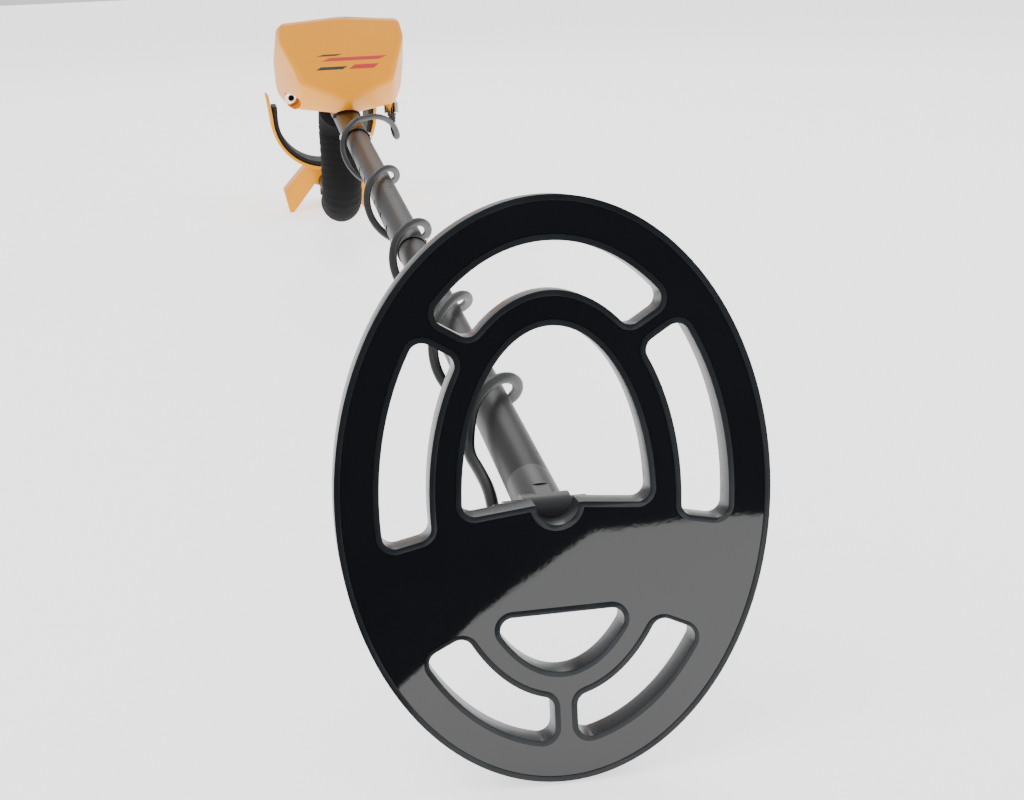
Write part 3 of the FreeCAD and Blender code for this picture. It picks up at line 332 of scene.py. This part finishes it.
# %% Rub marks and dust, as a mask
rub_group, entry, leave = new_group(
    "rub marks", [("Vector", VECTOR, None), ("Scale", FLOAT, 140.0), ("Least", FLOAT, 0.62),
                  ("Base", FLOAT, 0.4), ("Rubbed", FLOAT, 0.6)], [("Roughness", FLOAT), ("Mask", FLOAT)])
marks = rub_group.nodes.new("ShaderNodeTexNoise")
marks.inputs["Detail"].default_value = 8.0
marks.inputs["Distortion"].default_value = 0.6
step_up = rub_group.nodes.new("ShaderNodeMapRange")
step_up.inputs["From Max"].default_value = 0.8
to_roughness = rub_group.nodes.new("ShaderNodeMapRange")
links = rub_group.links
links.new(entry.outputs["Vector"], marks.inputs["Vector"])
links.new(entry.outputs["Scale"], marks.inputs["Scale"])
links.new(marks.outputs["Fac"], step_up.inputs["Value"])
links.new(entry.outputs["Least"], step_up.inputs["From Min"])
links.new(step_up.outputs["Result"], to_roughness.inputs["Value"])
links.new(entry.outputs["Base"], to_roughness.inputs["To Min"])
links.new(entry.outputs["Rubbed"], to_roughness.inputs["To Max"])
links.new(to_roughness.outputs["Result"], leave.inputs["Roughness"])
links.new(step_up.outputs["Result"], leave.inputs["Mask"])
print("groups", [g.name for g in bpy.data.node_groups])


# %% [markdown]
# Every finish here is one Principled shader with three things fed into it: a base colour that
# drifts, a roughness with rub marks, and a bump from the grain. Constant values stay on the
# shader's own sockets. The helper below wires that once, and each finish then sets its numbers.

# %% A finish from the three groups
def finish(name, colour, other, amount=0.5, tone_scale=18.0, rough=(0.4, 0.5), rub_scale=140.0,
           grain=(900.0, 60.0, 0.3), bump=0.15, depth=0.0004, **plain):
    material = bpy.data.materials.new(name)
    material.use_nodes = True
    nodes, links = material.node_tree.nodes, material.node_tree.links
    shader = nodes["Principled BSDF"]
    coordinates = nodes.new("ShaderNodeTexCoord")
    tone = nodes.new("ShaderNodeGroup")
    tone.node_tree = tone_group
    tone.inputs["Scale"].default_value = tone_scale
    tone.inputs["Amount"].default_value = amount
    tone.inputs["Colour"].default_value = (*colour, 1)
    tone.inputs["Other Colour"].default_value = (*other, 1)
    rub = nodes.new("ShaderNodeGroup")
    rub.node_tree = rub_group
    rub.inputs["Scale"].default_value = rub_scale
    rub.inputs["Base"].default_value, rub.inputs["Rubbed"].default_value = rough
    height = nodes.new("ShaderNodeGroup")
    height.node_tree = grain_group
    for label, value in zip(("Grain Scale", "Wave Scale", "Wave Share"), grain):
        height.inputs[label].default_value = value
    bumps = nodes.new("ShaderNodeBump")
    bumps.inputs["Strength"].default_value, bumps.inputs["Distance"].default_value = bump, depth
    for group in (tone, rub, height):
        links.new(coordinates.outputs["Object"], group.inputs["Vector"])
    links.new(tone.outputs["Colour"], shader.inputs["Base Color"])
    links.new(rub.outputs["Roughness"], shader.inputs["Roughness"])
    links.new(height.outputs["Height"], bumps.inputs["Height"])
    links.new(bumps.outputs["Normal"], shader.inputs["Normal"])
    for label, value in plain.items():
        shader.inputs[label.replace("_", " ")].default_value = value
    return material


# %% Moulded plastics
yellow = finish("yellow plastic", (0.84, 0.315, 0.0), (0.80, 0.275, 0.0), 0.6, 9.0, (0.36, 0.5), 60.0,
                (1500.0, 90.0, 0.15), 0.12, 0.0003, Specular_IOR_Level=0.22)
cuff_yellow = finish("cuff plastic", (0.88, 0.345, 0.004), (0.82, 0.295, 0.002), 0.6, 12.0, (0.42, 0.55),
                     80.0, (1500.0, 90.0, 0.15), 0.15, 0.0003, Specular_IOR_Level=0.22)
black_plastic = finish("black plastic", (0.022, 0.023, 0.025), (0.034, 0.034, 0.036), 0.6, 30.0, (0.42, 0.6))
coil_plastic = finish("coil plastic", (0.007, 0.009, 0.011), (0.014, 0.017, 0.020), 0.7, 25.0, (0.30, 0.46),
                      120.0, (1100.0, 70.0, 0.4), 0.18, 0.0004, Specular_IOR_Level=0.28)
button_plastic = finish("button plastic", (0.42, 0.43, 0.45), (0.34, 0.35, 0.37), 0.5, 60.0, (0.4, 0.55))
panel_film = finish("panel film", (0.035, 0.036, 0.04), (0.05, 0.05, 0.055), 0.5, 40.0, (0.34, 0.5), 200.0,
                    (2600.0, 200.0, 0.1), 0.2, 0.0002)

# %% [markdown]
# The resin under the coil is poured and sets with a mirror skin that isn't quite flat. A coat over
# a black base gives it two reflections, as the real skin and the black mass under it do. Slow
# waves in the bump bend the reflected edge, and faint rub marks soften it in places.

# %% Cast resin
resin = finish("cast resin", (0.0045, 0.005, 0.006), (0.007, 0.0075, 0.009), 0.5, 14.0, (0.03, 0.07), 420.0,
               (500.0, 15.0, 0.985), 0.3, 0.0011, Coat_Weight=0.5, Coat_Roughness=0.03, Coat_IOR=1.5)

# %% Foam, rubber, cable and padding
foam = finish("grip foam", (0.0022, 0.0026, 0.003), (0.005, 0.0055, 0.006), 0.7, 45.0, (0.85, 0.95), 300.0,
              (1500.0, 300.0, 0.35), 0.75, 0.0009, Specular_IOR_Level=0.22)
pad_foam = finish("pad foam", (0.075, 0.078, 0.075), (0.045, 0.047, 0.046), 0.7, 40.0, (0.8, 0.95), 300.0,
                  (1900.0, 260.0, 0.3), 0.6, 0.0007, Specular_IOR_Level=0.25)
pad_edge = finish("pad edge", (0.010, 0.010, 0.011), (0.018, 0.018, 0.019), 0.6, 60.0, (0.8, 0.95), 300.0,
                  (1900.0, 260.0, 0.3), 0.7, 0.0008)
cable_skin = finish("cable skin", (0.0075, 0.0085, 0.0095), (0.013, 0.0145, 0.016), 0.6, 35.0, (0.46, 0.62),
                    200.0, (2600.0, 160.0, 0.2), 0.12, 0.0002, Specular_IOR_Level=0.35)
rubber = finish("rubber", (0.02, 0.02, 0.021), (0.032, 0.032, 0.033), 0.6, 60.0, (0.6, 0.8))

# %% Metals, paint and small finishes
tube_paint = finish("tube paint", (0.006, 0.0065, 0.007), (0.012, 0.012, 0.0125), 0.7, 16.0, (0.42, 0.56),
                    110.0, (1600.0, 120.0, 0.25), 0.1, 0.0003, Specular_IOR_Level=0.24)
chrome = finish("chrome", (0.82, 0.82, 0.84), (0.7, 0.7, 0.72), 0.3, 90.0, (0.08, 0.22), 260.0,
                (900.0, 90.0, 0.6), 0.04, 0.0002, Metallic=1.0)
steel = finish("steel", (0.52, 0.52, 0.53), (0.38, 0.38, 0.39), 0.6, 120.0, (0.26, 0.42), 300.0,
               Metallic=1.0)
copper = finish("copper wire", (0.62, 0.24, 0.10), (0.42, 0.14, 0.06), 0.6, 300.0, (0.3, 0.45), Metallic=1.0)
board_green = finish("board", (0.02, 0.14, 0.05), (0.03, 0.2, 0.07), 0.6, 200.0, (0.35, 0.5))
screen_grey = finish("screen", (0.30, 0.34, 0.27), (0.26, 0.30, 0.24), 0.5, 60.0, (0.2, 0.3), bump=0.03)
cell_wrap = finish("cell wrap", (0.05, 0.06, 0.075), (0.32, 0.2, 0.06), 0.35, 26.0, (0.25, 0.4))
clear = finish("clear window", (0.80, 0.84, 0.82), (0.76, 0.8, 0.78), 0.3, 30.0, (0.03, 0.1), bump=0.02,
               Transmission_Weight=0.9, IOR=1.46)
mark_red = finish("red marking", (0.55, 0.02, 0.035), (0.48, 0.02, 0.03), 0.5, 60.0, (0.35, 0.45))
mark_dark = finish("dark marking", (0.02, 0.035, 0.03), (0.03, 0.05, 0.04), 0.5, 60.0, (0.4, 0.5))
floor_finish = finish("floor", (0.95, 0.95, 0.95), (0.93, 0.93, 0.935), 0.5, 2.0, (0.6, 0.7), 20.0,
                      bump=0.02, Emission_Color=(1.0, 1.0, 1.0, 1.0), Emission_Strength=1.3)
card_black = finish("card", (0.001, 0.001, 0.001), (0.002, 0.002, 0.002), 0.5, 2.0, (0.9, 0.95), bump=0.0,
                    Specular_IOR_Level=0.0)
floor.data.materials.append(floor_finish)
for card in (standing_card, lying_card):
    card.data.materials.append(card_black)
for cable in (box_lead, turns, coil_cable):
    cable.data.materials.append(cable_skin)
print("finishes", len(bpy.data.materials))

# %% [markdown]
# The frame's own parts whose shape is already right keep their meshes. They only need a finish.

# %% Finishes for the frame's own parts
carried_over = {
    "s_rod": tube_paint, "middle_stem": tube_paint, "lower_stem": tube_paint, "rod_end_plug": black_plastic,
    "stem_tip": black_plastic, "upper_snap_spring": steel, "lower_snap_spring": steel,
    "lower_snap_button_left": chrome, "lower_snap_button_right": chrome,
    "upper_snap_button_left": chrome, "upper_snap_button_right": chrome,
    "cuff_bolt": steel, "cuff_knob": black_plastic, "housing_screws": steel, "saddle_screws": steel,
    "mount_saddle": black_plastic, "panel_overlay": panel_film, "display_window": clear,
    "display_module": screen_grey, "circuit_board": board_green, "speaker": black_plastic,
    "battery_holder": black_plastic, "battery_cells": cell_wrap, "battery_contacts": steel,
    "battery_door": yellow, "headphone_jack": chrome, "cable_socket": chrome, "cable_plug": chrome,
    "coupling_ring": chrome, "strain_relief": rubber, "coil_shell": coil_plastic, "coil_potting": resin,
    "transmit_winding": copper, "receive_winding": copper, "pivot_washers": rubber,
    "coil_bolt": black_plastic, "wing_nut": black_plastic, "coil_cable_gland": rubber,
    "power_button": button_plastic, "mode_button": button_plastic, "minus_button": button_plastic,
    "plus_button": button_plastic, "arm_cuff": cuff_yellow, "front_shell": yellow, "rear_shell": yellow,
    "grip_foam": foam, "cuff_pad": pad_foam,
}
SMOOTH_UNDER = math.radians(32)


def smooth(mesh, angle=SMOOTH_UNDER):
    mesh.polygons.foreach_set("use_smooth", [True] * len(mesh.polygons))
    mesh.set_sharp_from_angle(angle=angle)


for name, surface in carried_over.items():
    node = frame["nodes"][name]
    node.data.materials.clear()
    node.data.materials.append(surface)
print("carried over", len(carried_over))

# %% [markdown]
# The control box is a moulded clam shell. Its form is a block with each side planed off at a
# slant, which is how a pattern maker would cut it, and then every edge is rounded. Here a cube is
# cut by planes with bisect_plane, and one bevel rounds all the edges that are left. The same
# steps with each plane moved inwards give the hollow.

# %% The box's planes, in millimetres in the shaft's frame
BOX_FACETS = [
    ((0, -0.706, 0.708), -555.9), ((0, -0.560, 0.828), -425.3),
    ((0.080, 0.158, 0.984), 236.0), ((-0.080, 0.158, 0.984), 236.0),
    ((0.457, -0.500, -0.735), -425.3), ((-0.457, -0.500, -0.735), -425.3),
    ((0.9605, -0.218, -0.172), -144.9), ((-0.9605, -0.218, -0.172), -144.9),
    ((0.991, 0, 0.133), 71.4), ((-0.991, 0, 0.133), 71.4),
    ((0.9986, 0, -0.052), 63.6), ((-0.9986, 0, -0.052), 63.6),
    ((0.685, 0, -0.728), 32.5), ((-0.685, 0, -0.728), 32.5),
    ((0, 0.956, 0.294), 934.0), ((0, 0, -1), -8.0),
]
BOX_SEAM, BOX_WALL = 932.0, 2.4
BOX_MIDDLE, BLANK_SIZE = Vector((0, 900, 50)), (180, 240, 130)
OUTER_ROUNDING, INNER_ROUNDING = 5.5, 1.5


def box_form(inset, rounding, segments):
    bm = bmesh.new()
    bmesh.ops.create_cube(bm, size=1.0)
    blank = Matrix.Translation(BOX_MIDDLE) @ Matrix.Diagonal((*BLANK_SIZE, 1))
    bmesh.ops.transform(bm, verts=bm.verts, matrix=blank)
    for normal, distance in BOX_FACETS:
        length = Vector(normal).length
        unit = Vector(normal) / length
        everything = bm.verts[:] + bm.edges[:] + bm.faces[:]
        cut = bmesh.ops.bisect_plane(bm, geom=everything, dist=1e-4, plane_no=unit, clear_outer=True,
                                     plane_co=unit * (distance / length - inset))
        rim = [g for g in cut["geom_cut"] if isinstance(g, bmesh.types.BMEdge)]
        if rim:
            bmesh.ops.edgeloop_fill(bm, edges=rim)
    bmesh.ops.remove_doubles(bm, verts=bm.verts, dist=0.05)
    bmesh.ops.dissolve_limit(bm, angle_limit=math.radians(1), verts=bm.verts, edges=bm.edges)
    bmesh.ops.recalc_face_normals(bm, faces=bm.faces)
    if rounding:
        bmesh.ops.bevel(bm, geom=bm.edges[:], offset=rounding, segments=segments, profile=0.5,
                        affect="EDGES", clamp_overlap=True, material=-1)
        bmesh.ops.remove_doubles(bm, verts=bm.verts, dist=0.02)
    return bm


def as_object(bm, name, matrix=SHAFT):
    bmesh.ops.transform(bm, verts=bm.verts, matrix=matrix)
    mesh = bpy.data.meshes.new(name)
    bm.to_mesh(mesh)
    bm.free()
    return bpy.data.objects.new(name, mesh)


print("planes", len(BOX_FACETS))


# %% Cutters for openings, and a boolean that uses them up
def bar(start, end, radius, segments=48):
    start, end = Vector(start), Vector(end)
    bm = bmesh.new()
    bmesh.ops.create_cone(bm, cap_ends=True, segments=segments, radius1=radius, radius2=radius,
                          depth=(end - start).length)
    turn = (end - start).to_track_quat("Z", "Y").to_matrix().to_4x4()
    bmesh.ops.transform(bm, verts=bm.verts, matrix=Matrix.Translation((start + end) / 2) @ turn)
    return bm


def slab(low, high, rounding=0.0, axis=2):
    low, high = Vector(low), Vector(high)
    bm = bmesh.new()
    bmesh.ops.create_cube(bm, size=1.0)
    bmesh.ops.transform(bm, verts=bm.verts,
                        matrix=Matrix.Translation((low + high) / 2) @ Matrix.Diagonal((*(high - low), 1)))
    if rounding:
        upright = [e for e in bm.edges if abs((e.verts[0].co - e.verts[1].co).normalized()[axis]) > 0.99]
        bmesh.ops.bevel(bm, geom=upright, offset=rounding, segments=6, profile=0.5, affect="EDGES",
                        material=-1)
    return bm


def carve(body, *cutters, operation="DIFFERENCE"):
    """Cuts each cutter out of the body, or adds it, and gives back a plain object."""
    scene = bpy.context.scene.collection.objects
    for cutter in cutters:
        scene.link(cutter)
        step = body.modifiers.new("cut", "BOOLEAN")
        step.operation, step.solver, step.object = operation, "EXACT", cutter
    mesh = mesh_of(body)
    for cutter in cutters:
        bpy.data.objects.remove(cutter)
    return bpy.data.objects.new(mesh.name, mesh)


# %% Places on the box: rear panel, roof door and cable socket
def stand_on(normal, origin, right=Vector((1, 0, 0))):
    """A frame in millimetres whose z is the normal and whose x is to the right as it is faced."""
    normal = Vector(normal).normalized()
    right = (right - normal * right.dot(normal)).normalized()
    columns = Matrix((right, normal.cross(right), normal)).transposed().to_4x4()
    return Matrix.Translation(Vector(origin)) @ columns


PANEL = SHAFT @ stand_on((0, 0.956, 0.294), (0, 962.0, 49.0), Vector((-1, 0, 0)))
ROOF = SHAFT @ stand_on((0.080, 0.158, 0.984), (30.5, 915.4, (236.0 - 0.080 * 30.5 - 0.158 * 915.4) / 0.984))
SOCKET_PLACE = SHAFT @ stand_on(socket_out, SOCKET)
JACK = Vector((-52.0, 905.0, 17.0))
BUTTON_X, BUTTON_Y = (-39.0, -13.0, 13.0, 39.0), -13.0
print("panel faces", [round(c, 3) for c in PANEL.to_3x3() @ Vector((0, 0, 1))])


# %% The front shell
def shell_form():
    outer = as_object(box_form(0.0, OUTER_ROUNDING, 5), "outer")
    inner = as_object(box_form(BOX_WALL, INNER_ROUNDING, 2), "inner")
    return carve(outer, inner)


channel_cut = [as_object(bar((0, 780, 0), (0, 1000, 0), 14.4), "rod_channel"),
               as_object(slab((-14.4, 780, -40), (14.4, 1000, 0)), "rod_channel_side")]
front = carve(shell_form(), as_object(slab((-110, 700, -60), (110, BOX_SEAM - 0.15, 200)), "ahead"),
              operation="INTERSECT")
channel_wall = as_object(bar((0, 826, 0), (0, BOX_SEAM - 0.2, 0), 16.6), "channel_wall")
channel_wall = carve(channel_wall, as_object(box_form(0.6, 0, 0), "inside"), operation="INTERSECT")
pocket_wall = as_object(bar(JACK + Vector((0, -21, 0)), JACK + Vector((0, 2.2, 0)), 9.6), "pocket_wall")
pocket_wall = carve(pocket_wall, as_object(box_form(0.6, 0, 0), "inside"), operation="INTERSECT")
front = carve(front, channel_wall, pocket_wall, operation="UNION")
front = carve(front, *channel_cut,
              as_object(bar(JACK + Vector((0, -45, 0)), JACK, 8.0), "pocket"),
              as_object(bar(JACK + Vector((0, -25, 0)), JACK + Vector((0, 25, 0)), 4.7), "jack_hole"),
              as_object(bar((0, 0, -12), (0, 0, 6), 6.2), "socket_hole", SOCKET_PLACE),
              as_object(slab((-26.2, -14.4, -7), (26.2, 14.4, 7), 3.0), "door_hole", ROOF))
smooth(front.data, math.radians(28))
front_shell = add_piece("box_front", front.data, yellow)
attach(front_shell, "shaft")
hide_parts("front_shell")
print("front shell", len(front_shell.data.polygons), "faces")

# %% The rear shell
rear = carve(shell_form(), as_object(slab((-110, BOX_SEAM + 0.15, -60), (110, 1100, 200)), "behind"),
             operation="INTERSECT")
openings = [as_object(slab((-37, -2, -10), (37, 32, 5), 2.0), "display_hole", PANEL)]
for x in BUTTON_X:
    openings.append(as_object(slab((x - 9.3, BUTTON_Y - 4.5, -10), (x + 9.3, BUTTON_Y + 4.5, 5), 3.0),
                              "button_hole", PANEL))
for row in range(5):
    openings.append(as_object(slab((-16, -33 + 2.6 * row, -10), (16, -31.6 + 2.6 * row, 5)), "slot", PANEL))
for x, w in ((-59.5, 27.0), (60.0, 26.0), (-56.8, 74.0), (60.2, 62.0)):
    openings.append(as_object(bar((x, 944.6, w), (x, 1000, w), 3.1, 24), "screw_well"))
rear = carve(rear, as_object(bar((0, 780, 0), (0, 1000, 0), 14.4), "rod_channel"),
             as_object(slab((-14.4, 780, -40), (14.4, 1000, 0)), "rod_channel_side"), *openings)
smooth(rear.data, math.radians(28))
rear_shell = add_piece("box_rear", rear.data, yellow)
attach(rear_shell, "shaft")
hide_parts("rear_shell")
print("rear shell", len(rear_shell.data.polygons), "faces")

# %% [markdown]
# The front of the box carries a printed marking. Here it is a plain one: slanting bars in red and
# dark green that stand for no maker. Each bar is a thin sheet of small faces, dropped on to the
# moulded surface so that it follows the curve as a printed film would.

# %% Printed bars on the front
shell_tree = BVHTree.FromObject(front_shell, bpy.context.evaluated_depsgraph_get())


def printed_bar(name, corners, surface, tree, towards, lift=0.00012):
    bm = bmesh.new()
    bm.faces.new([bm.verts.new(SHAFT @ Vector(c)) for c in corners])
    bmesh.ops.subdivide_edges(bm, edges=bm.edges[:], cuts=9, use_grid_fill=True)
    bmesh.ops.triangulate(bm, faces=bm.faces[:])
    direction = (SHAFT.to_3x3() @ Vector(towards)).normalized()
    for vert in bm.verts:
        place, normal, _, _ = tree.ray_cast(vert.co - direction * 0.05, direction)
        if place is not None:
            vert.co = place - direction * lift
    mesh = bpy.data.meshes.new(name)
    bm.to_mesh(mesh)
    bm.free()
    piece = add_piece(name, mesh, surface)
    return piece


def on_front(x, up):
    """A point on the sloping front, up from its middle."""
    return (x, 846 + up * 0.76, 58.5 + up * 0.64)


bars = [("bar_red_long", -23, 33, 1.5, 6.0, 9, mark_red), ("bar_red_short", 3, 27, -9.0, -4.0, 6, mark_red),
        ("bar_dark_low", -29, -3, -9.0, -5.5, 5, mark_dark),
        ("bar_dark_high", -27, -8, 8.5, 11.0, 7, mark_dark)]
for name, left, right, low, high, slant, surface in bars:
    corners = [on_front(left, low), on_front(right, low), on_front(right + slant, high),
               on_front(left + slant, high)]
    printed = printed_bar(name, corners, surface, shell_tree, (0, 0.63, -0.77))
    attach(printed, "shaft")
print("printed bars", len(bars))

# %% [markdown]
# The handle is a sleeve of black foam pulled over the bent rod. Foam like this wrinkles across
# its length and swells between the wrinkles. A ring of points is pushed along the rod's line and
# its size varied at each step, so the folds are real geometry and catch the light at the edge.

# %% The foam grip
ROD_BEND, BEND_RADIUS, GRIP_DROP, REAR_SLOPE = 975.0, 38.0, 115.5, math.radians(6.6)
FOAM_RADIUS, ROD_RADIUS = 22.0, 12.1
RING_STEP, FOLD_WIDTH, FOLD_DEPTH, WRINKLES = 2.2, 1.5, 0.75, 40


def grip_line():
    """Places and directions down the handle, one ring's step apart."""
    stations, step = [], RING_STEP
    bend_back = ROD_BEND - BEND_RADIUS
    low_turn = math.pi / 2 - REAR_SLOPE
    reach = BEND_RADIUS * math.tan(low_turn / 2)
    turn = math.radians(20)
    while turn < math.pi / 2:
        on_bend = Vector((0, bend_back + BEND_RADIUS * math.sin(turn), -BEND_RADIUS * (1 - math.cos(turn))))
        stations.append((on_bend, Vector((0, math.cos(turn), -math.sin(turn)))))
        turn += step / BEND_RADIUS
    w = -BEND_RADIUS
    while w > -GRIP_DROP + reach:
        stations.append((Vector((0, ROD_BEND, w)), Vector((0, 0, -1))))
        w -= step
    turn = 0.0
    start = Vector((0, ROD_BEND, -GRIP_DROP + reach))
    while turn < low_turn:
        moved = Vector((0, BEND_RADIUS * (1 - math.cos(turn)), -BEND_RADIUS * math.sin(turn)))
        stations.append((start + moved, Vector((0, math.sin(turn), -math.cos(turn)))))
        turn += step / BEND_RADIUS
    ahead = Vector((0, math.cos(REAR_SLOPE), -math.sin(REAR_SLOPE)))
    end = stations[-1][0]
    for k in range(1, 7):
        stations.append((end + ahead * step * k, ahead))
    return stations


random.seed(7)
line = grip_line()
grip = bmesh.new()
ring = bmesh.ops.create_circle(grip, cap_ends=False, segments=48, radius=1.0)["verts"]
local = Matrix.Identity(4)
rim = list({e for v in ring for e in v.link_edges})
wrinkles = [(random.uniform(6.0, 8.5), random.uniform(-0.25, 0.25), random.uniform(0.5, 1.0))
            for _ in range(WRINKLES)]
places, at = [], 0.0
for pitch, lean, deep in wrinkles:
    places.append((at, lean, deep))
    at += pitch
for index, (place, heading) in enumerate(line):
    distance = index * RING_STEP
    from_start, from_end = (index + 0.4) / 2.5, (len(line) - index - 0.6) / 2.5
    ends = min(1.0, math.sqrt(max(0.0, from_start)), math.sqrt(max(0.0, from_end)))
    cross = Matrix((Vector((1, 0, 0)), heading.cross(Vector((1, 0, 0))), heading)).transposed().to_4x4()
    target = Matrix.Translation(place) @ cross
    if index:
        made = bmesh.ops.extrude_edge_only(grip, edges=rim)
        ring = [g for g in made["geom"] if isinstance(g, bmesh.types.BMVert)]
        rim = [g for g in made["geom"] if isinstance(g, bmesh.types.BMEdge)
               and all(v in set(ring) for v in g.verts)]
    step = target @ local.inverted()
    for vert in ring:
        vert.co = step @ vert.co
    local = target
    back = target.inverted()
    for vert in ring:
        spot = back @ vert.co
        angle = math.atan2(spot.y, spot.x)
        fold = 0.0
        for centre, lean, deep in places:
            gap = distance - centre - 2.2 * math.sin(angle + 9 * lean) * lean * 4
            fold += deep * math.exp(-(gap / FOLD_WIDTH) ** 2)
        unevenness = 0.15 * math.sin(3 * angle + distance / 9)
        radius = (ROD_RADIUS - 0.3) + (FOAM_RADIUS - ROD_RADIUS + 0.3) * ends - FOLD_DEPTH * fold + unevenness
        vert.co = target @ (Vector((math.cos(angle), math.sin(angle), 0)) * radius)
bmesh.ops.holes_fill(grip, edges=[e for e in grip.edges if e.is_boundary], sides=0)
bmesh.ops.recalc_face_normals(grip, faces=grip.faces)
grip_object = as_object(grip, "grip")
smooth(grip_object.data, math.radians(60))
grip_piece = add_piece("grip_sleeve", grip_object.data, foam)
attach(grip_piece, "shaft")
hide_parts("grip_foam")
print("grip", len(grip_piece.data.polygons), "faces,", len(line), "rings")

# %% [markdown]
# A foam pad lines the arm cuff: a strip of closed-cell foam, black at its cut edge and grey where
# the sleeve has rubbed it. Its section is drawn once, at the top of one wing, pulled down to the
# cuff's middle, spun through half a turn and pulled up the other wing.

# %% The cuff's padding
CUFF_AT, CUFF_CENTRE = 1261.0, 82.7
rear_w = -GRIP_DROP - (CUFF_AT - ROD_BEND) * math.tan(REAR_SLOPE)
CUFF = SHAFT @ Matrix.Translation((0, CUFF_AT, rear_w)) @ Matrix.Rotation(-REAR_SLOPE, 4, "X")
PAD_OUT, PAD_IN, PAD_HALF, PAD_TOP = 63.4, 57.4, 41.5, 97.0
pad = slab((PAD_IN, -PAD_HALF, PAD_TOP - 0.1), (PAD_OUT, PAD_HALF, PAD_TOP), 2.4, 2)
bmesh.ops.delete(pad, geom=[f for f in pad.faces if f.normal.z < 0.9], context="FACES_ONLY")
pad.faces.ensure_lookup_table()
section = pad.faces[:]
bmesh.ops.duplicate(pad, geom=section)
for depth in range(2):
    made = bmesh.ops.extrude_face_region(pad, geom=section)["geom"]
    section = [g for g in made if isinstance(g, bmesh.types.BMFace)]
    moved = [g for g in made if isinstance(g, bmesh.types.BMVert)]
    bmesh.ops.translate(pad, verts=moved, vec=(0, 0, (CUFF_CENTRE - PAD_TOP) / 2))
edges = list({e for f in section for e in f.edges})
bmesh.ops.delete(pad, geom=section, context="FACES_ONLY")
spun = bmesh.ops.spin(pad, geom=edges, cent=(0, 0, CUFF_CENTRE), axis=(0, 1, 0), angle=math.pi, steps=36,
                      use_merge=False)["geom_last"]
edges = [g for g in spun if isinstance(g, bmesh.types.BMEdge)]
for height in range(2):
    made = bmesh.ops.extrude_edge_only(pad, edges=edges)["geom"]
    moved = [g for g in made if isinstance(g, bmesh.types.BMVert)]
    edges = [g for g in made if isinstance(g, bmesh.types.BMEdge) and all(v in set(moved) for v in g.verts)]
    bmesh.ops.translate(pad, verts=moved, vec=(0, 0, (PAD_TOP - CUFF_CENTRE) / 2))
bmesh.ops.remove_doubles(pad, verts=pad.verts, dist=0.01)
open_edges = [e for e in pad.edges if e.is_boundary]
if open_edges:
    bmesh.ops.holes_fill(pad, edges=open_edges, sides=0)
bmesh.ops.recalc_face_normals(pad, faces=pad.faces)
pad_object = as_object(pad, "pad", CUFF)
smooth(pad_object.data, math.radians(50))
pad_piece = add_piece("cuff_padding", pad_object.data, pad_foam, pad_edge)
to_cuff = CUFF.inverted()
for polygon in pad_piece.data.polygons:
    centre = to_cuff @ polygon.center
    if abs(centre.y) > PAD_HALF - 2.2 or centre.z > PAD_TOP - 0.5:
        polygon.material_index = 1
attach(pad_piece, "shaft")
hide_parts("cuff_pad")
print("cuff padding", len(pad_piece.data.polygons), "faces")


# %% [markdown]
# Moulded and turned parts never have knife edges. The cuff and the coil's shell keep the frame's
# shape, but a copy of each has its edges rounded by a small bevel, which gives them the thin
# bright line that a real edge shows.

# %% Softened copies of moulded parts
def softened(node_name, piece_name, width, segments, surface, body, least=40.0):
    bm = bmesh.new()
    bm.from_mesh(frame["nodes"][node_name].data)
    bmesh.ops.remove_doubles(bm, verts=bm.verts, dist=1e-6)
    bmesh.ops.dissolve_limit(bm, angle_limit=math.radians(0.5), verts=bm.verts, edges=bm.edges)
    mesh = bpy.data.meshes.new(piece_name)
    bm.to_mesh(mesh)
    bm.free()
    source = bpy.data.objects.new(piece_name + "_source", mesh)
    rounding = source.modifiers.new("rounding", "BEVEL")
    rounding.width, rounding.segments = width * MM, segments
    rounding.limit_method, rounding.angle_limit = "ANGLE", math.radians(least)
    rounding.use_clamp_overlap = True
    mesh = mesh_of(source)
    smooth(mesh, math.radians(34))
    piece = add_piece(piece_name, mesh, surface)
    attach(piece, body)
    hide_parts(node_name)
    print(piece_name, len(mesh.polygons), "faces")
    return piece


softened("arm_cuff", "cuff_body", 0.7, 2, cuff_yellow, "shaft")
softened("coil_shell", "coil_body", 0.6, 3, coil_plastic, "coil")
softened("wing_nut", "wing_nut_body", 0.5, 2, black_plastic, "wing_nut")
